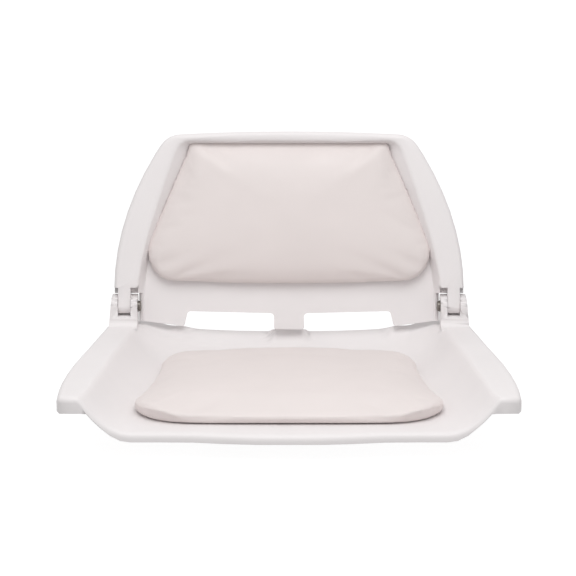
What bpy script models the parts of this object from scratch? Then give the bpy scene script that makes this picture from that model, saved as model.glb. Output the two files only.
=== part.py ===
"""Folding boat seat: a moulded bucket shell, a backrest that folds down over it, and two vinyl pads.

Metres, +Z up. The sitter faces -Y and the part is symmetric about the plane X = 0. The origin is the
centre of the underside of the mounting platform, which bolts to a pedestal or a swivel.
"""

from math import cos, pi, radians, sin, sqrt, tan

import bmesh
import bpy
from mathutils import Matrix, Vector

# Clearances
GAP = 0.0003                    # between pieces that touch
OVERRUN = 0.004                 # how far a cutter runs past what it cuts
MERGE_DISTANCE = 0.000003       # points this close become one
ROUND_STEPS = 16                # facets round a bore, a pin or a washer
SMOOTH_ANGLE = radians(35)      # edges sharper than this stay crisp

# Mounting platform, a flat-bottomed well in the middle of the pan
MOUNT_PITCH = 0.127             # hole centres of the square bolt pattern
PLATFORM_SIDE = 0.160
PLATFORM_FLOOR = 0.008
PLATFORM_DRAFT = 0.008          # how much further out each wall stands at the pan
PLATFORM_CORNER = 0.016
CORNER_STEPS = 3

# Seat shell
WALL = 0.004
SEAT_WIDTH = 0.508              # over the wings, at their widest
SHELL_FRONT = 0.191             # front edge ahead of the origin, beside the bulge
SHELL_REAR = 0.200              # rear edge behind the origin
REAR_SWEEP = 0.012              # how far the rear edge comes forward at the hinge corners
REAR_SWEEP_POWER = 4
PAN_HEIGHT = 0.030              # top of the flat bed under the seat pad
REAR_RISE = 0.0335              # how much the pan climbs behind the bed
REAR_CLIMB = 0.068              # length over which the pan climbs at the rear
BED_REAR = SHELL_REAR - REAR_CLIMB  # where that climb starts
SIDE_POWER = 2                  # how the side walls steepen towards the crease
REAR_SIDE_POWER = 2.0           # the same at the rear edge
WING_HEIGHT = 0.070             # flat top of the wings
WING_DROP = 0.018               # height of the wings' outer face
REAR_DROP = 0.016               # height of the rear face
WING_REAR_INSET = 0.0325        # wings narrower at the rear edge than at the tips
WING_REAR_HALF = SEAT_WIDTH / 2 - WING_REAR_INSET  # half width at the rear edge
WING_TAPER_SHARE = 0.117        # how much the wings widen per unit of length
WING_BLEND = 0.012              # rounding where the taper meets the tips
TIP_TUCK = 0.0015               # how far the tips draw in again
TIP_TUCK_LENGTH = 0.080
WING_REAR_BAND = 0.036          # flat top of a wing at the rear edge
CREASE_REAR_HALF = WING_REAR_HALF - WING_REAR_BAND  # inner edge of the wings at the rear edge
CREASE_TAPER_SHARE = 0.0985
CREASE_BOW = 0.002
CREASE_SOFTNESS = 0.007
TIP_FLARE = 0.010               # how far the crease turns out at the tip
TIP_FLARE_LENGTH = 0.042
FLOOR_FRONT_INSET = 0.081       # side wall and wing at the front edge
FLOOR_FRONT_HALF = SEAT_WIDTH / 2 - FLOOR_FRONT_INSET  # half width of the flat floor at the front edge
FLOOR_BED_INSET = 0.0415        # side wall beside the back of the bed
FLOOR_BED_HALF = CREASE_REAR_HALF - FLOOR_BED_INSET  # the same at the back of the bed
FLOOR_REAR_HALF = 0.020         # the same at the rear edge
EDGE_RADIUS = 0.0064            # roll of the outer edge
EDGE_STEPS = 3
LIP_FACE = 0.010                # height of the front face below the lip
LIP_BULGE = 0.010
LIP_BULGE_FLAT_HALF = 0.035
LIP_BULGE_HALF = 0.120
NECK_FACE = 0.0072              # height of the front face where the lip meets the wing tip
LIP_INSET = 0.069
LIP_HALF = SEAT_WIDTH / 2 - LIP_INSET  # where the front face starts to grow shallower
NECK_RUN = 0.023
NECK_HALF = LIP_HALF + NECK_RUN  # where it is shallowest
ROW_SHARES = (0, 0.015, 0.04, 0.075, 0.12, 0.19, 0.3, 0.43, 0.56, 0.68, 0.78, 0.835, 0.88, 0.92, 0.96, 1)
FLOOR_SHARES = (0, 0.2, 0.4, 0.6, 0.8, 1)
SIDE_SHARES = (0.2, 0.4, 0.58, 0.73, 0.85, 0.94, 1)
BAND_SHARES = (0.12, 0.32, 1)

# Ribs under the seat shell
RIB_THICKNESS = 0.003
RIB_FOOT = 0.004                # foot of a rib above the mounting face, at the platform
RIB_SET_BACK = 0.002            # foot of a rib above the lower edge of the shell
RIB_POINTS = 18
RIB_BURY_SHARE = 0.65           # how deep in the wall a rib's top edge lies

# Hinge
PIN_SET_IN = 0.035              # axis ahead of the rear edge
PIN_REACH = SHELL_REAR - PIN_SET_IN  # axis behind the origin
PIN_RISE = 0.023                # axis above the wings
PIN_HEIGHT = WING_HEIGHT + PIN_RISE  # axis above the mounting face
RECLINE = radians(13)           # lean of the backrest at rest
KNUCKLE_RADIUS = 0.009
KNUCKLE_WIDTH = 0.0149
KNUCKLE_PLAY = 0.0006           # each side, between knuckle and ear
EAR_TOP = 0.0127                # ears above the axis
EAR_FRONT = 0.0127              # ears ahead of the axis
EAR_INNER = 0.008
EAR_OUTER = 0.0088
EAR_DRAFT_SHARE = 0.1           # lean of the outer face
EAR_FILLET = 0.009
EAR_CORNER = 0.005
EAR_STEP = 0.0022               # inner ear outside the crease
EAR_INNER_FACE = CREASE_REAR_HALF + EAR_STEP  # inner ear's inner face, from the middle
STOP_WEB = 0.0055               # web behind the knuckle that the backrest leans on
SLOT_DEPTH = 0.0116             # floor of the slot below the axis
ARC_STEPS = 6

# Hinge hardware
BOLT_DIAMETER = 0.0064
BOLT_HEAD_DIAMETER = 0.0128
BOLT_HEAD_HEIGHT = 0.0027
HEAD_ROUND_SHARE = 0.55         # how much of a pan head's height its rounded rim takes
WASHER_DIAMETER = 0.0145
WASHER_THICKNESS = 0.001
NUT_WIDTH = 0.0111              # across flats
NUT_HEIGHT = 0.0048
NUT_COLLAR_SHARE = 0.3          # share of the nut's height that is its round collar
NUT_SIDES = 6
NUT_STEPS_PER_SIDE = 4
BUSH_WALL = 0.0015

# Backrest shell, in its own plane: heights run up the plane from the axis, depths run backwards
BACK_TOP = 0.2165               # top edge
BACK_TOP_CROWN = 0.0035         # how much the top edge rises in the middle
BACK_FOOT_INSET = 0.005         # backrest inside the wings' outer edges
BACK_FOOT_HALF = WING_REAR_HALF - BACK_FOOT_INSET  # half width at the hinge
BACK_TAPER = 0.0665             # how much each side draws in
BACK_SHOULDER_HALF = BACK_FOOT_HALF - BACK_TAPER  # half width where the sides meet the top
BACK_SIDE_START = 0.020         # height where the sides start to draw in
BACK_CORNER = 0.017
BAND_TOP = 0.013                # width of the flat rim band along the top
RIM_BAND = 0.029                # flat rim at the hinge
CREASE_FOOT_HALF = BACK_FOOT_HALF - RIM_BAND
RIM_SHOULDER_BAND = 0.013       # flat rim at the shoulders
CREASE_SHOULDER_HALF = BACK_SHOULDER_HALF - RIM_SHOULDER_BAND
CREASE_TURN_INSET = 0.003
CREASE_TURN_HALF = CREASE_FOOT_HALF - CREASE_TURN_INSET  # where the crease's lower and upper tangents meet
CREASE_TURN_HEIGHT = 0.070
CREASE_CORNER = 0.014
RIM_DEPTH = KNUCKLE_RADIUS      # rim ahead of the axis, and its skirt behind it
PANEL_SET_BACK = 0.013          # front of the panel behind the axis
BEVEL_LOW_RUN = 0.0068          # how far the bevel from the rim to the panel leans in at the sides
BEVEL_HIGH_RUN = 0.0200         # the same at the upper corners
BEVEL_TOP_RUN = 0.0024          # the same along the top
BEVEL_SOFTNESS = 0.0026
BACK_CROWN_DROP = 0.001         # how much lower the crease runs at its upper corners
BACK_EDGE_RADIUS = 0.005
RELIEF_HEIGHT = 0.0225          # front of the rim cut away below this, ahead of the ears
RELIEF_DEPTH = 0.003            # back of that relief, behind the axis
RIM_FOOT = 0.0162               # rest of the rim, cut away below this above the ears
HEAD_PLAY = 0.0012              # round the bolt's head and washer
EAR_PLAY = 0.0008               # between an ear and the panel beside it
RIM_END_WALL = 0.004
SIDE_POINTS = 8
CORNER_POINTS = 4
TOP_POINTS = 4
GUSSET_THICKNESS = 0.003
GUSSET_SHARES = (0.34, 0.58, 0.82)
TOP_GUSSET_SHARES = (0, 0.42)
LOBE_OUTER_DROP = 0.0185        # outer lobes below the axis, at their outer corner
LOBE_INNER_DROP = 0.0250        # the same beside the notch
LOBE_WIDTH = 0.057
LOBE_INNER_HALF = CREASE_FOOT_HALF - LOBE_WIDTH
LOBE_CENTRE_DROP = 0.0292
LOBE_CENTRE_HALF = 0.0187
NOTCH_DRAFT = 0.0043
NOTCH_HALF = LOBE_INNER_HALF - NOTCH_DRAFT  # outer side of the notches, at their top
NOTCH_TOP_OUTER_DROP = 0.0064
NOTCH_TOP_INNER_DROP = 0.0090
NOTCH_CORNER = 0.0045
LOBE_CORNER = 0.003

# Pads, both built the same way
COVER = 0.0012                  # vinyl
HEM = 0.016                     # cover turned in under the board
BOARD = 0.006
BOARD_INSET = 0.014             # board inside the pad's widest outline
FOAM_GAP = 0.0005
PAD_EDGE_SHARES = ((0.34, 0), (0.1, 0.13), (0, 0.34), (0.03, 0.5), (0.17, 0.66), (0.46, 0.77))
CROWN_SHARES = (0.82, 0.6, 0.32)
PAD_SIDE_STEPS = 4
PAD_TIGHTEST_CORNER = 0.004     # smallest corner of the rings inside a pad's outline
SEAT_PAD_HEIGHT = 0.030
SEAT_PAD_FRONT_MARGIN = 0.034   # pad behind the front edge
SEAT_PAD_FRONT = SHELL_FRONT - SEAT_PAD_FRONT_MARGIN  # corners of the pad before rounding
SEAT_PAD_FRONT_INSET = 0.0725
SEAT_PAD_FRONT_HALF = SEAT_WIDTH / 2 - SEAT_PAD_FRONT_INSET
SEAT_PAD_REAR_MARGIN = 0.011
SEAT_PAD_REAR = BED_REAR - SEAT_PAD_REAR_MARGIN
SEAT_PAD_REAR_INSET = 0.0365
SEAT_PAD_REAR_HALF = CREASE_REAR_HALF - SEAT_PAD_REAR_INSET
SEAT_PAD_FRONT_CORNER = 0.060
SEAT_PAD_REAR_CORNER = 0.046
SEAT_PAD_PULL = 0.005           # how far the sides draw in
SEAT_PAD_FRONT_BOW = 0.002
SEAT_PAD_REAR_BOW = 0.018
BACK_PAD_HEIGHT = 0.0275
BACK_PAD_BOTTOM = 0.0315        # lower corners above the axis
BACK_PAD_SAG = 0.003            # how much lower the bottom edge is in the middle
BACK_PAD_LOW = 0.067            # where the two side margins are measured
BACK_PAD_HIGH_DROP = 0.0265
BACK_PAD_HIGH = BACK_TOP - BACK_PAD_HIGH_DROP
BACK_PAD_LOW_MARGIN = 0.0034    # pad inside the crease, before its corners are rounded
BACK_PAD_HIGH_MARGIN = 0.0175
BACK_PAD_TOP_MARGIN = 0.0028
BACK_PAD_LOW_CORNER = 0.035
BACK_PAD_HIGH_CORNER = 0.012

# Pad fixings
SCREW_DIAMETER = 0.0042
SCREW_HEAD_DIAMETER = 0.0082
SCREW_HEAD_HEIGHT = 0.0026
SCREW_BITE_SHARE = 0.85         # share of the board's thickness that a screw enters
SCREW_TIP_SHARE = 0.3           # share of the shank's width left at its tip
SCREW_WASHER_DIAMETER = 0.0145
SCREW_STEPS = 12
SEAT_SCREW_HALF = 0.040
SEAT_SCREW_REACH = 0.102
BACK_SCREW_INSET = 0.055
BACK_SCREW_HALF = BACK_SHOULDER_HALF - BACK_SCREW_INSET
BACK_SCREW_LOW = 0.062
BACK_SCREW_DROP = 0.0565
BACK_SCREW_HIGH = BACK_TOP - BACK_SCREW_DROP

# Tee nuts in the platform
TEE_FLANGE_DIAMETER = 0.019
TEE_FLANGE_THICKNESS = 0.0016
TEE_BARREL_DIAMETER = 0.0098
TEE_BORE_DIAMETER = 0.0069

# Finishes: red, green, blue, roughness, metallic
SHELL_PLASTIC = (0.90, 0.88, 0.86, 0.45, 0)
VINYL = (0.86, 0.80, 0.77, 0.5, 0)
FOAM = (0.85, 0.80, 0.62, 0.95, 0)
PLYWOOD = (0.62, 0.45, 0.28, 0.8, 0)
STEEL = (0.45, 0.45, 0.46, 0.35, 1)
NYLON = (0.85, 0.85, 0.82, 0.5, 0)


# Sizes that follow from the ones above

SLOT_INNER = EAR_INNER_FACE + EAR_INNER
SLOT_WIDTH = KNUCKLE_WIDTH + 2 * KNUCKLE_PLAY
SLOT_OUTER = SLOT_INNER + SLOT_WIDTH
EAR_OUTER_FACE = SLOT_OUTER + EAR_OUTER
EAR_REAR = KNUCKLE_RADIUS + GAP + STOP_WEB
HEAD_FACE = EAR_INNER_FACE - WASHER_THICKNESS - BOLT_HEAD_HEIGHT - 2 * GAP
LOBE_BOTTOM = -LOBE_OUTER_DROP
BOARD_BOTTOM = GAP + COVER + GAP
BOARD_TOP = BOARD_BOTTOM + BOARD
FOAM_BOTTOM = BOARD_TOP + GAP


# Curves and outlines

def mix(start, end, share):
    return start + (end - start) * share


def smooth(share):
    share = min(max(share, 0), 1)
    return share * share * (3 - 2 * share)


def softer_min(first, second, reach):
    """Smaller of two values, rounded over where they cross."""
    share = min(max((second - first + reach) / (2 * reach), 0), 1)
    return mix(second, first, share) - reach * share * (1 - share) / 2


def arc(centre, radius, start, end, steps):
    points = []
    for step in range(steps + 1):
        angle = mix(start, end, step / steps)
        points.append((centre[0] + radius * cos(angle), centre[1] + radius * sin(angle)))
    return points


def bezier(start, turn, end, steps):
    points = []
    for step in range(steps + 1):
        share = step / steps
        points.append(tuple(
            mix(mix(a, b, share), mix(b, c, share), share) for a, b, c in zip(start, turn, end)))
    return points


def fillet(before, corner, after, radius, steps):
    """Arc that rounds a corner, from the side of before to the side of after."""
    corner = Vector(corner)
    to_before = (Vector(before) - corner).normalized()
    to_after = (Vector(after) - corner).normalized()
    half_angle = to_before.angle(to_after) / 2
    middle = corner + (to_before + to_after).normalized() * (radius / sin(half_angle))
    start = corner + to_before * (radius / tan(half_angle)) - middle
    turn = start.angle_signed(corner + to_after * (radius / tan(half_angle)) - middle)
    points = []
    for step in range(steps + 1):
        points.append(tuple(middle + Matrix.Rotation(-turn * step / steps, 2) @ start))
    return points


def rounded_outline(corners, radii, bows, edge_steps, corner_steps):
    """Closed outline through rounded corners; a bow pushes the middle of the edge after a corner out."""
    count = len(corners)
    arcs = []
    for index in range(count):
        before = corners[index - 1]
        after = corners[(index + 1) % count]
        arcs.append(fillet(before, corners[index], after, radii[index], corner_steps))
    outline = []
    for index in range(count):
        outline += arcs[index]
        start = Vector(arcs[index][-1])
        end = Vector(arcs[(index + 1) % count][0])
        along = (end - start).normalized()
        outward = Vector((along.y, -along.x))
        for step in range(1, edge_steps):
            share = step / edge_steps
            outline.append(tuple(start.lerp(end, share) + outward * bows[index] * 4 * share * (1 - share)))
    return outline


def inset_outline(outline, inset):
    """Counterclockwise closed outline, moved inwards along its normals."""
    moved = []
    count = len(outline)
    for index in range(count):
        before = Vector(outline[index - 1])
        here = Vector(outline[index])
        after = Vector(outline[(index + 1) % count])
        first = (here - before).normalized()
        second = (after - here).normalized()
        normal = Vector((-first.y - second.y, first.x + second.x)).normalized()
        stretch = normal.dot(Vector((-first.y, first.x)))
        moved.append(tuple(here + normal * (inset / stretch)))
    return moved


# Making objects

def material(name, finish):
    made = bpy.data.materials.get(name) or bpy.data.materials.new(name)
    made.use_nodes = True
    shader = made.node_tree.nodes["Principled BSDF"]
    shader.inputs["Base Color"].default_value = finish[:3] + (1,)
    shader.inputs["Roughness"].default_value = finish[3]
    shader.inputs["Metallic"].default_value = finish[4]
    made.diffuse_color = finish[:3] + (1,)
    return made


def make_object(name, mesh_data, finish, parent=None):
    """Object with its own mesh and material, faces outwards and round faces shaded smooth."""
    bmesh.ops.remove_doubles(mesh_data, verts=mesh_data.verts, dist=MERGE_DISTANCE)
    bmesh.ops.recalc_face_normals(mesh_data, faces=mesh_data.faces)
    mesh = bpy.data.meshes.new(name)
    mesh_data.to_mesh(mesh)
    mesh_data.free()
    mesh.shade_smooth()
    mesh.set_sharp_from_angle(angle=SMOOTH_ANGLE)
    made = bpy.data.objects.new(name, mesh)
    bpy.context.scene.collection.objects.link(made)
    mesh.materials.append(material(name, finish))
    made.parent = parent
    return made


def make_empty(name, location, rotation=(0, 0, 0), parent=None):
    made = bpy.data.objects.new(name, None)
    bpy.context.scene.collection.objects.link(made)
    made.location = location
    made.rotation_euler = rotation
    made.parent = parent
    return made


def prism(outline, start, end, axis="Z"):
    """Closed outline pushed from start to end along an axis; on X it lies in YZ, on Y in XZ."""
    mesh_data = bmesh.new()
    places = {
        "X": lambda a, b: (start, a, b),
        "Y": lambda a, b: (a, start, b),
        "Z": lambda a, b: (a, b, start),
    }
    push = {"X": (end - start, 0, 0), "Y": (0, end - start, 0), "Z": (0, 0, end - start)}
    corners = [mesh_data.verts.new(places[axis](a, b)) for a, b in outline]
    face = mesh_data.faces.new(corners)
    pushed = bmesh.ops.extrude_face_region(mesh_data, geom=[face])
    moved = [item for item in pushed["geom"] if isinstance(item, bmesh.types.BMVert)]
    bmesh.ops.translate(mesh_data, verts=moved, vec=push[axis])
    return mesh_data


def turned(profile, steps, closed):
    """Profile of (radius, height) points spun round Z; a closed profile makes a ring."""
    mesh_data = bmesh.new()
    points = [mesh_data.verts.new((radius, 0, height)) for radius, height in profile]
    edges = [mesh_data.edges.new(pair) for pair in zip(points, points[1:])]
    if closed:
        edges.append(mesh_data.edges.new((points[-1], points[0])))
    bmesh.ops.spin(
        mesh_data, geom=points + edges, cent=(0, 0, 0), axis=(0, 0, 1), angle=2 * pi, steps=steps,
        use_merge=True)
    bmesh.ops.remove_doubles(mesh_data, verts=mesh_data.verts, dist=MERGE_DISTANCE)
    return mesh_data


def loft(rings, closed_rings):
    """Skin through rings of as many points each."""
    mesh_data = bmesh.new()
    rows = [[mesh_data.verts.new(point) for point in ring] for ring in rings]
    for lower, upper in zip(rows, rows[1:]):
        count = len(lower)
        last = count if closed_rings else count - 1
        for index in range(last):
            after = (index + 1) % count
            mesh_data.faces.new((lower[index], lower[after], upper[after], upper[index]))
    return mesh_data, rows


def box(low, high):
    """Outline of an upright rectangle, counterclockwise."""
    return [(low[0], low[1]), (high[0], low[1]), (high[0], high[1]), (low[0], high[1])]


def as_tool(tool, group):
    """Takes an object out of the model and puts it in a group that a Boolean reads."""
    tool.hide_render = True
    tool.display_type = "WIRE"
    group.objects.link(tool)


def boolean(target, group, operation):
    modifier = target.modifiers.new(group.name, "BOOLEAN")
    modifier.operation = operation
    modifier.operand_type = "COLLECTION"
    modifier.collection = group
    modifier.solver = "EXACT"


# Surface of the seat shell

def length_share(y):
    return (y + SHELL_FRONT) / (SHELL_FRONT + SHELL_REAR)


def wing_half(y):
    """Half width over the outer edges of the wings."""
    tapered = WING_REAR_HALF + WING_TAPER_SHARE * (SHELL_REAR - y)
    into_tip = max(TIP_TUCK_LENGTH - SHELL_FRONT - y, 0) / TIP_TUCK_LENGTH
    return softer_min(SEAT_WIDTH / 2 - TIP_TUCK * into_tip * into_tip, tapered, WING_BLEND)


def crease_half(y):
    """Half width over the crease between a wing and its side wall."""
    share = length_share(y)
    half = CREASE_REAR_HALF + CREASE_TAPER_SHARE * (SHELL_REAR - y) + CREASE_BOW * 4 * share * (1 - share)
    into_tip = TIP_FLARE_LENGTH - SHELL_FRONT - y
    if into_tip > 0:
        half += TIP_FLARE * (1 - sqrt(max(1 - (into_tip / TIP_FLARE_LENGTH) ** 2, 0)))
    return half


def floor_half(y):
    """Half width of the flat floor, before the side walls curve up."""
    if y < BED_REAR:
        return mix(FLOOR_FRONT_HALF, FLOOR_BED_HALF, (y + SHELL_FRONT) / (BED_REAR + SHELL_FRONT))
    return mix(FLOOR_BED_HALF, FLOOR_REAR_HALF, (y - BED_REAR) / (SHELL_REAR - BED_REAR))


def floor_height(y):
    climb = max(y - BED_REAR, 0) / (SHELL_REAR - BED_REAR)
    return PAN_HEIGHT + REAR_RISE * climb * climb


def surface_height(x, y):
    """Top of the seat shell at a place in plan."""
    floor = floor_height(y)
    inner = floor_half(y)
    share = max(abs(x) - inner, 0) / (crease_half(y) - inner)
    climb = max(y - BED_REAR, 0) / (SHELL_REAR - BED_REAR)
    side = floor + (WING_HEIGHT - floor) * share ** mix(SIDE_POWER, REAR_SIDE_POWER, climb)
    return softer_min(WING_HEIGHT, side, CREASE_SOFTNESS)


def front_edge(x):
    """Front of the shell in plan, with the bulge in the middle."""
    fade = smooth((abs(x) - LIP_BULGE_FLAT_HALF) / (LIP_BULGE_HALF - LIP_BULGE_FLAT_HALF))
    return -SHELL_FRONT - LIP_BULGE * (1 - fade)


def rear_edge(x):
    return SHELL_REAR - REAR_SWEEP * (abs(x) / WING_REAR_HALF) ** REAR_SWEEP_POWER


def front_face(x, surface):
    """Height of the front face: the lip, the neck beside it and the flat-bottomed wing tip."""
    fade = smooth((abs(x) - LIP_HALF) / (NECK_HALF - LIP_HALF))
    return max(mix(LIP_FACE, NECK_FACE, fade), surface - WING_HEIGHT + WING_DROP)


def column_places(y):
    """Places across the shell at a station, from one outer edge to the other."""
    floor = floor_half(y)
    crease = crease_half(y)
    outer = wing_half(y) - EDGE_RADIUS
    half = [floor * share for share in FLOOR_SHARES]
    half += [mix(floor, crease, share) for share in SIDE_SHARES]
    half += [mix(crease, outer, share) for share in BAND_SHARES]
    return [-place for place in reversed(half[1:])] + half


def shell_grid():
    """Rows of points over the top of the shell, short of its rolled edge."""
    front_places = column_places(EDGE_RADIUS - SHELL_FRONT)
    rear_places = column_places(SHELL_REAR - EDGE_RADIUS)
    rows = []
    for row_share in ROW_SHARES:
        row = []
        for column, (front_place, rear_place) in enumerate(zip(front_places, rear_places)):
            start = front_edge(front_place) + EDGE_RADIUS
            end = rear_edge(rear_place) - EDGE_RADIUS
            y = mix(start, end, row_share)
            x = column_places(y)[column]
            row.append((x, y, surface_height(x, y)))
        rows.append(row)
    return rows


def shell_perimeter(rows):
    """Indices of the edge of the grid, once round, with the height of the face below each point."""
    last_row = len(rows) - 1
    last_column = len(rows[0]) - 1
    around = []
    for column in range(last_column):
        place = rows[0][column]
        around.append((0, column, front_face(place[0], place[2])))
    around += [(row, last_column, WING_DROP) for row in range(last_row)]
    around += [(last_row, column, REAR_DROP) for column in range(last_column, 0, -1)]
    around += [(row, 0, WING_DROP) for row in range(last_row, 0, -1)]
    return around


def roll_edge(mesh_data, grid_verts, rows):
    """Turns the edge of the grid down through a quarter round, then straight down."""
    around = shell_perimeter(rows)
    places = [Vector(rows[row][column]) for row, column, face in around]
    rings = [[grid_verts[row][column] for row, column, face in around]]
    count = len(around)
    outward = []
    for index in range(count):
        along = places[(index + 1) % count] - places[index - 1]
        outward.append(Vector((along.y, -along.x, 0)).normalized())
    for step in range(1, EDGE_STEPS + 1):
        angle = pi / 2 * step / EDGE_STEPS
        ring = []
        for place, out in zip(places, outward):
            drop = Vector((0, 0, EDGE_RADIUS * (1 - cos(angle))))
            ring.append(mesh_data.verts.new(place + out * EDGE_RADIUS * sin(angle) - drop))
        rings.append(ring)
    foot = []
    for place, out, (row, column, face) in zip(places, outward, around):
        foot.append(mesh_data.verts.new(place + out * EDGE_RADIUS - Vector((0, 0, face))))
    rings.append(foot)
    for upper, lower in zip(rings, rings[1:]):
        for index in range(count):
            after = (index + 1) % count
            mesh_data.faces.new((upper[index], upper[after], lower[after], lower[index]))


def seat_sheet():
    rows = shell_grid()
    mesh_data, grid_verts = loft(rows, closed_rings=False)
    roll_edge(mesh_data, grid_verts, rows)
    return mesh_data


def platform_prism(side_inset, low, high, corner):
    """Rounded square tub whose walls spread towards the pan."""
    rings = []
    for height in (low, high):
        half = PLATFORM_SIDE / 2 - side_inset + PLATFORM_DRAFT * height / PAN_HEIGHT
        square = [(half, -half), (half, half), (-half, half), (-half, -half)]
        outline = rounded_outline(square, [corner] * 4, [0] * 4, 1, CORNER_STEPS)
        rings.append([(x, y, height) for x, y in outline])
    mesh_data, rows = loft(rings, closed_rings=True)
    mesh_data.faces.new(rows[0])
    mesh_data.faces.new(rows[-1])
    return mesh_data


def edge_drop(distance):
    """How far a rib's top runs below the surface: inside the wall, and deeper near the rolled edge."""
    return mix(EDGE_RADIUS, WALL * RIB_BURY_SHARE, min(distance / EDGE_RADIUS, 1))


def rib(name, start, end, end_depth, group):
    """Upright plate under the shell from the platform out to the edge, shallower as it goes."""
    start = Vector(start)
    end = Vector(end)
    run = (end - start).length
    foot = []
    top = []
    for step in range(RIB_POINTS + 1):
        along = min(step / (RIB_POINTS - 1), 1) * (run - EDGE_RADIUS) if step < RIB_POINTS else run
        place = start.lerp(end, along / run)
        surface = surface_height(place.x, place.y)
        depth = mix(PAN_HEIGHT - WALL - RIB_FOOT, end_depth, along / run)
        foot.append((along, surface - WALL - depth))
        top.append((along, surface - edge_drop(run - along)))
    mesh_data = prism(foot + top[::-1], -RIB_THICKNESS / 2, RIB_THICKNESS / 2, "Y")
    bmesh.ops.triangulate(mesh_data, faces=mesh_data.faces)
    made = make_object(name, mesh_data, SHELL_PLASTIC)
    made.location = (start.x, start.y, 0)
    made.rotation_euler = (0, 0, (end - start).angle_signed(Vector((1, 0))))
    as_tool(made, group)


def seat_ribs(group):
    """Ribs from the platform to the lip, the rear edge, the wings and the four corners."""
    inner = PLATFORM_SIDE / 2 - WALL / 2
    lip_depth = LIP_FACE - WALL - RIB_SET_BACK
    rear_depth = REAR_DROP - WALL - RIB_SET_BACK
    wing_depth = WING_DROP - WALL - RIB_SET_BACK
    for number, place in enumerate((-MOUNT_PITCH / 2, 0, MOUNT_PITCH / 2)):
        front = (place, front_edge(place) + WALL / 2)
        rib("rib_front_%d" % number, (place, -inner), front, lip_depth, group)
        rear = (place, rear_edge(place) - WALL / 2)
        rib("rib_rear_%d" % number, (place, inner), rear, rear_depth, group)
    for side, side_name in ((-1, "left"), (1, "right")):
        for number, place in enumerate((-MOUNT_PITCH / 2, MOUNT_PITCH / 2)):
            outer = side * (wing_half(place) - WALL / 2)
            rib("rib_%s_%d" % (side_name, number), (side * inner, place), (outer, place), wing_depth, group)
        corner = PLATFORM_SIDE / 2 - PLATFORM_CORNER / 2
        tip = TIP_FLARE_LENGTH - SHELL_FRONT
        hinge_end = (side * (wing_half(PIN_REACH) - WALL / 2), PIN_REACH)
        rib("rib_hinge_" + side_name, (side * corner, corner), hinge_end, wing_depth, group)
        tip_end = (side * (wing_half(tip) - WALL / 2), tip)
        rib("rib_tip_" + side_name, (side * corner, -corner), tip_end, wing_depth, group)


# Hinge blocks of the seat shell

def stop_plane(height):
    """Place behind the origin of the web's front face, which leans like the backrest."""
    return PIN_REACH + (KNUCKLE_RADIUS + GAP) / cos(RECLINE) + (height - PIN_HEIGHT) * tan(RECLINE)


def hinge_block(side, side_name, group):
    """Block that the two ears are cut from, standing on the rear end of a wing."""
    top = PIN_HEIGHT + EAR_TOP
    front = PIN_REACH - EAR_FRONT
    rear = PIN_REACH + EAR_REAR + EAR_TOP * tan(RECLINE)
    base = WING_HEIGHT - EDGE_RADIUS
    outline = [(rear, base)]
    outline += fillet((rear, base), (rear, top), (front, top), EAR_CORNER, ARC_STEPS)
    outline += arc((PIN_REACH, PIN_HEIGHT), EAR_FRONT, pi / 2, pi, ARC_STEPS)
    foot = (front - EAR_FILLET, WING_HEIGHT + EAR_FILLET)
    outline += arc(foot, EAR_FILLET, 0, -pi / 2, ARC_STEPS)
    outline.append((front - EAR_FILLET, base))
    mesh_data = prism(outline, side * EAR_INNER_FACE, side * EAR_OUTER_FACE, "X")
    middle = (EAR_INNER_FACE + EAR_OUTER_FACE) / 2
    for vert in mesh_data.verts:
        if abs(vert.co.x) > middle:
            vert.co.x += side * EAR_DRAFT_SHARE * (PIN_HEIGHT - vert.co.z)
    as_tool(make_object("hinge_block_" + side_name, mesh_data, SHELL_PLASTIC), group)


def hinge_slot(side, side_name, group):
    """Slot between the ears, open at the top and the front and closed by the stop web."""
    floor = PIN_HEIGHT - SLOT_DEPTH
    top = PIN_HEIGHT + EAR_TOP + OVERRUN
    front = PIN_REACH - EAR_FRONT - EAR_FILLET - OVERRUN
    outline = [(front, floor), (stop_plane(floor), floor), (stop_plane(top), top), (front, top)]
    mesh_data = prism(outline, side * SLOT_INNER, side * SLOT_OUTER, "X")
    as_tool(make_object("hinge_slot_" + side_name, mesh_data, SHELL_PLASTIC), group)


def along_pin(side, start):
    """Turns a piece modelled along +Z to lie along the pin, outwards from a place on it."""
    place = Matrix.Translation((side * start, PIN_REACH, PIN_HEIGHT))
    return place @ Matrix.Rotation(side * pi / 2, 4, "Y")


def rod(name, radius, start, end, steps, place, group):
    """Round or many-sided cutter between two heights, put in place by a matrix."""
    mesh_data = bmesh.new()
    bmesh.ops.create_cone(
        mesh_data, cap_ends=True, segments=steps, radius1=radius, radius2=radius, depth=end - start,
        matrix=place @ Matrix.Translation((0, 0, (start + end) / 2)))
    as_tool(make_object(name, mesh_data, SHELL_PLASTIC), group)


def hinge_bores(side, side_name, group):
    """Bolt bore through both ears and the nut's hexagon pocket in the outer one."""
    place = along_pin(side, EAR_INNER_FACE)
    outer = EAR_OUTER_FACE - EAR_INNER_FACE
    rod("ear_bore_" + side_name, BOLT_DIAMETER / 2 + GAP, -OVERRUN, outer + OVERRUN, ROUND_STEPS, place,
        group)
    pocket = (NUT_WIDTH / 2 + GAP) / cos(pi / NUT_SIDES)
    rod("nut_pocket_" + side_name, pocket, outer - NUT_HEIGHT - GAP, outer + OVERRUN, NUT_SIDES, place,
        group)


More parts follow.
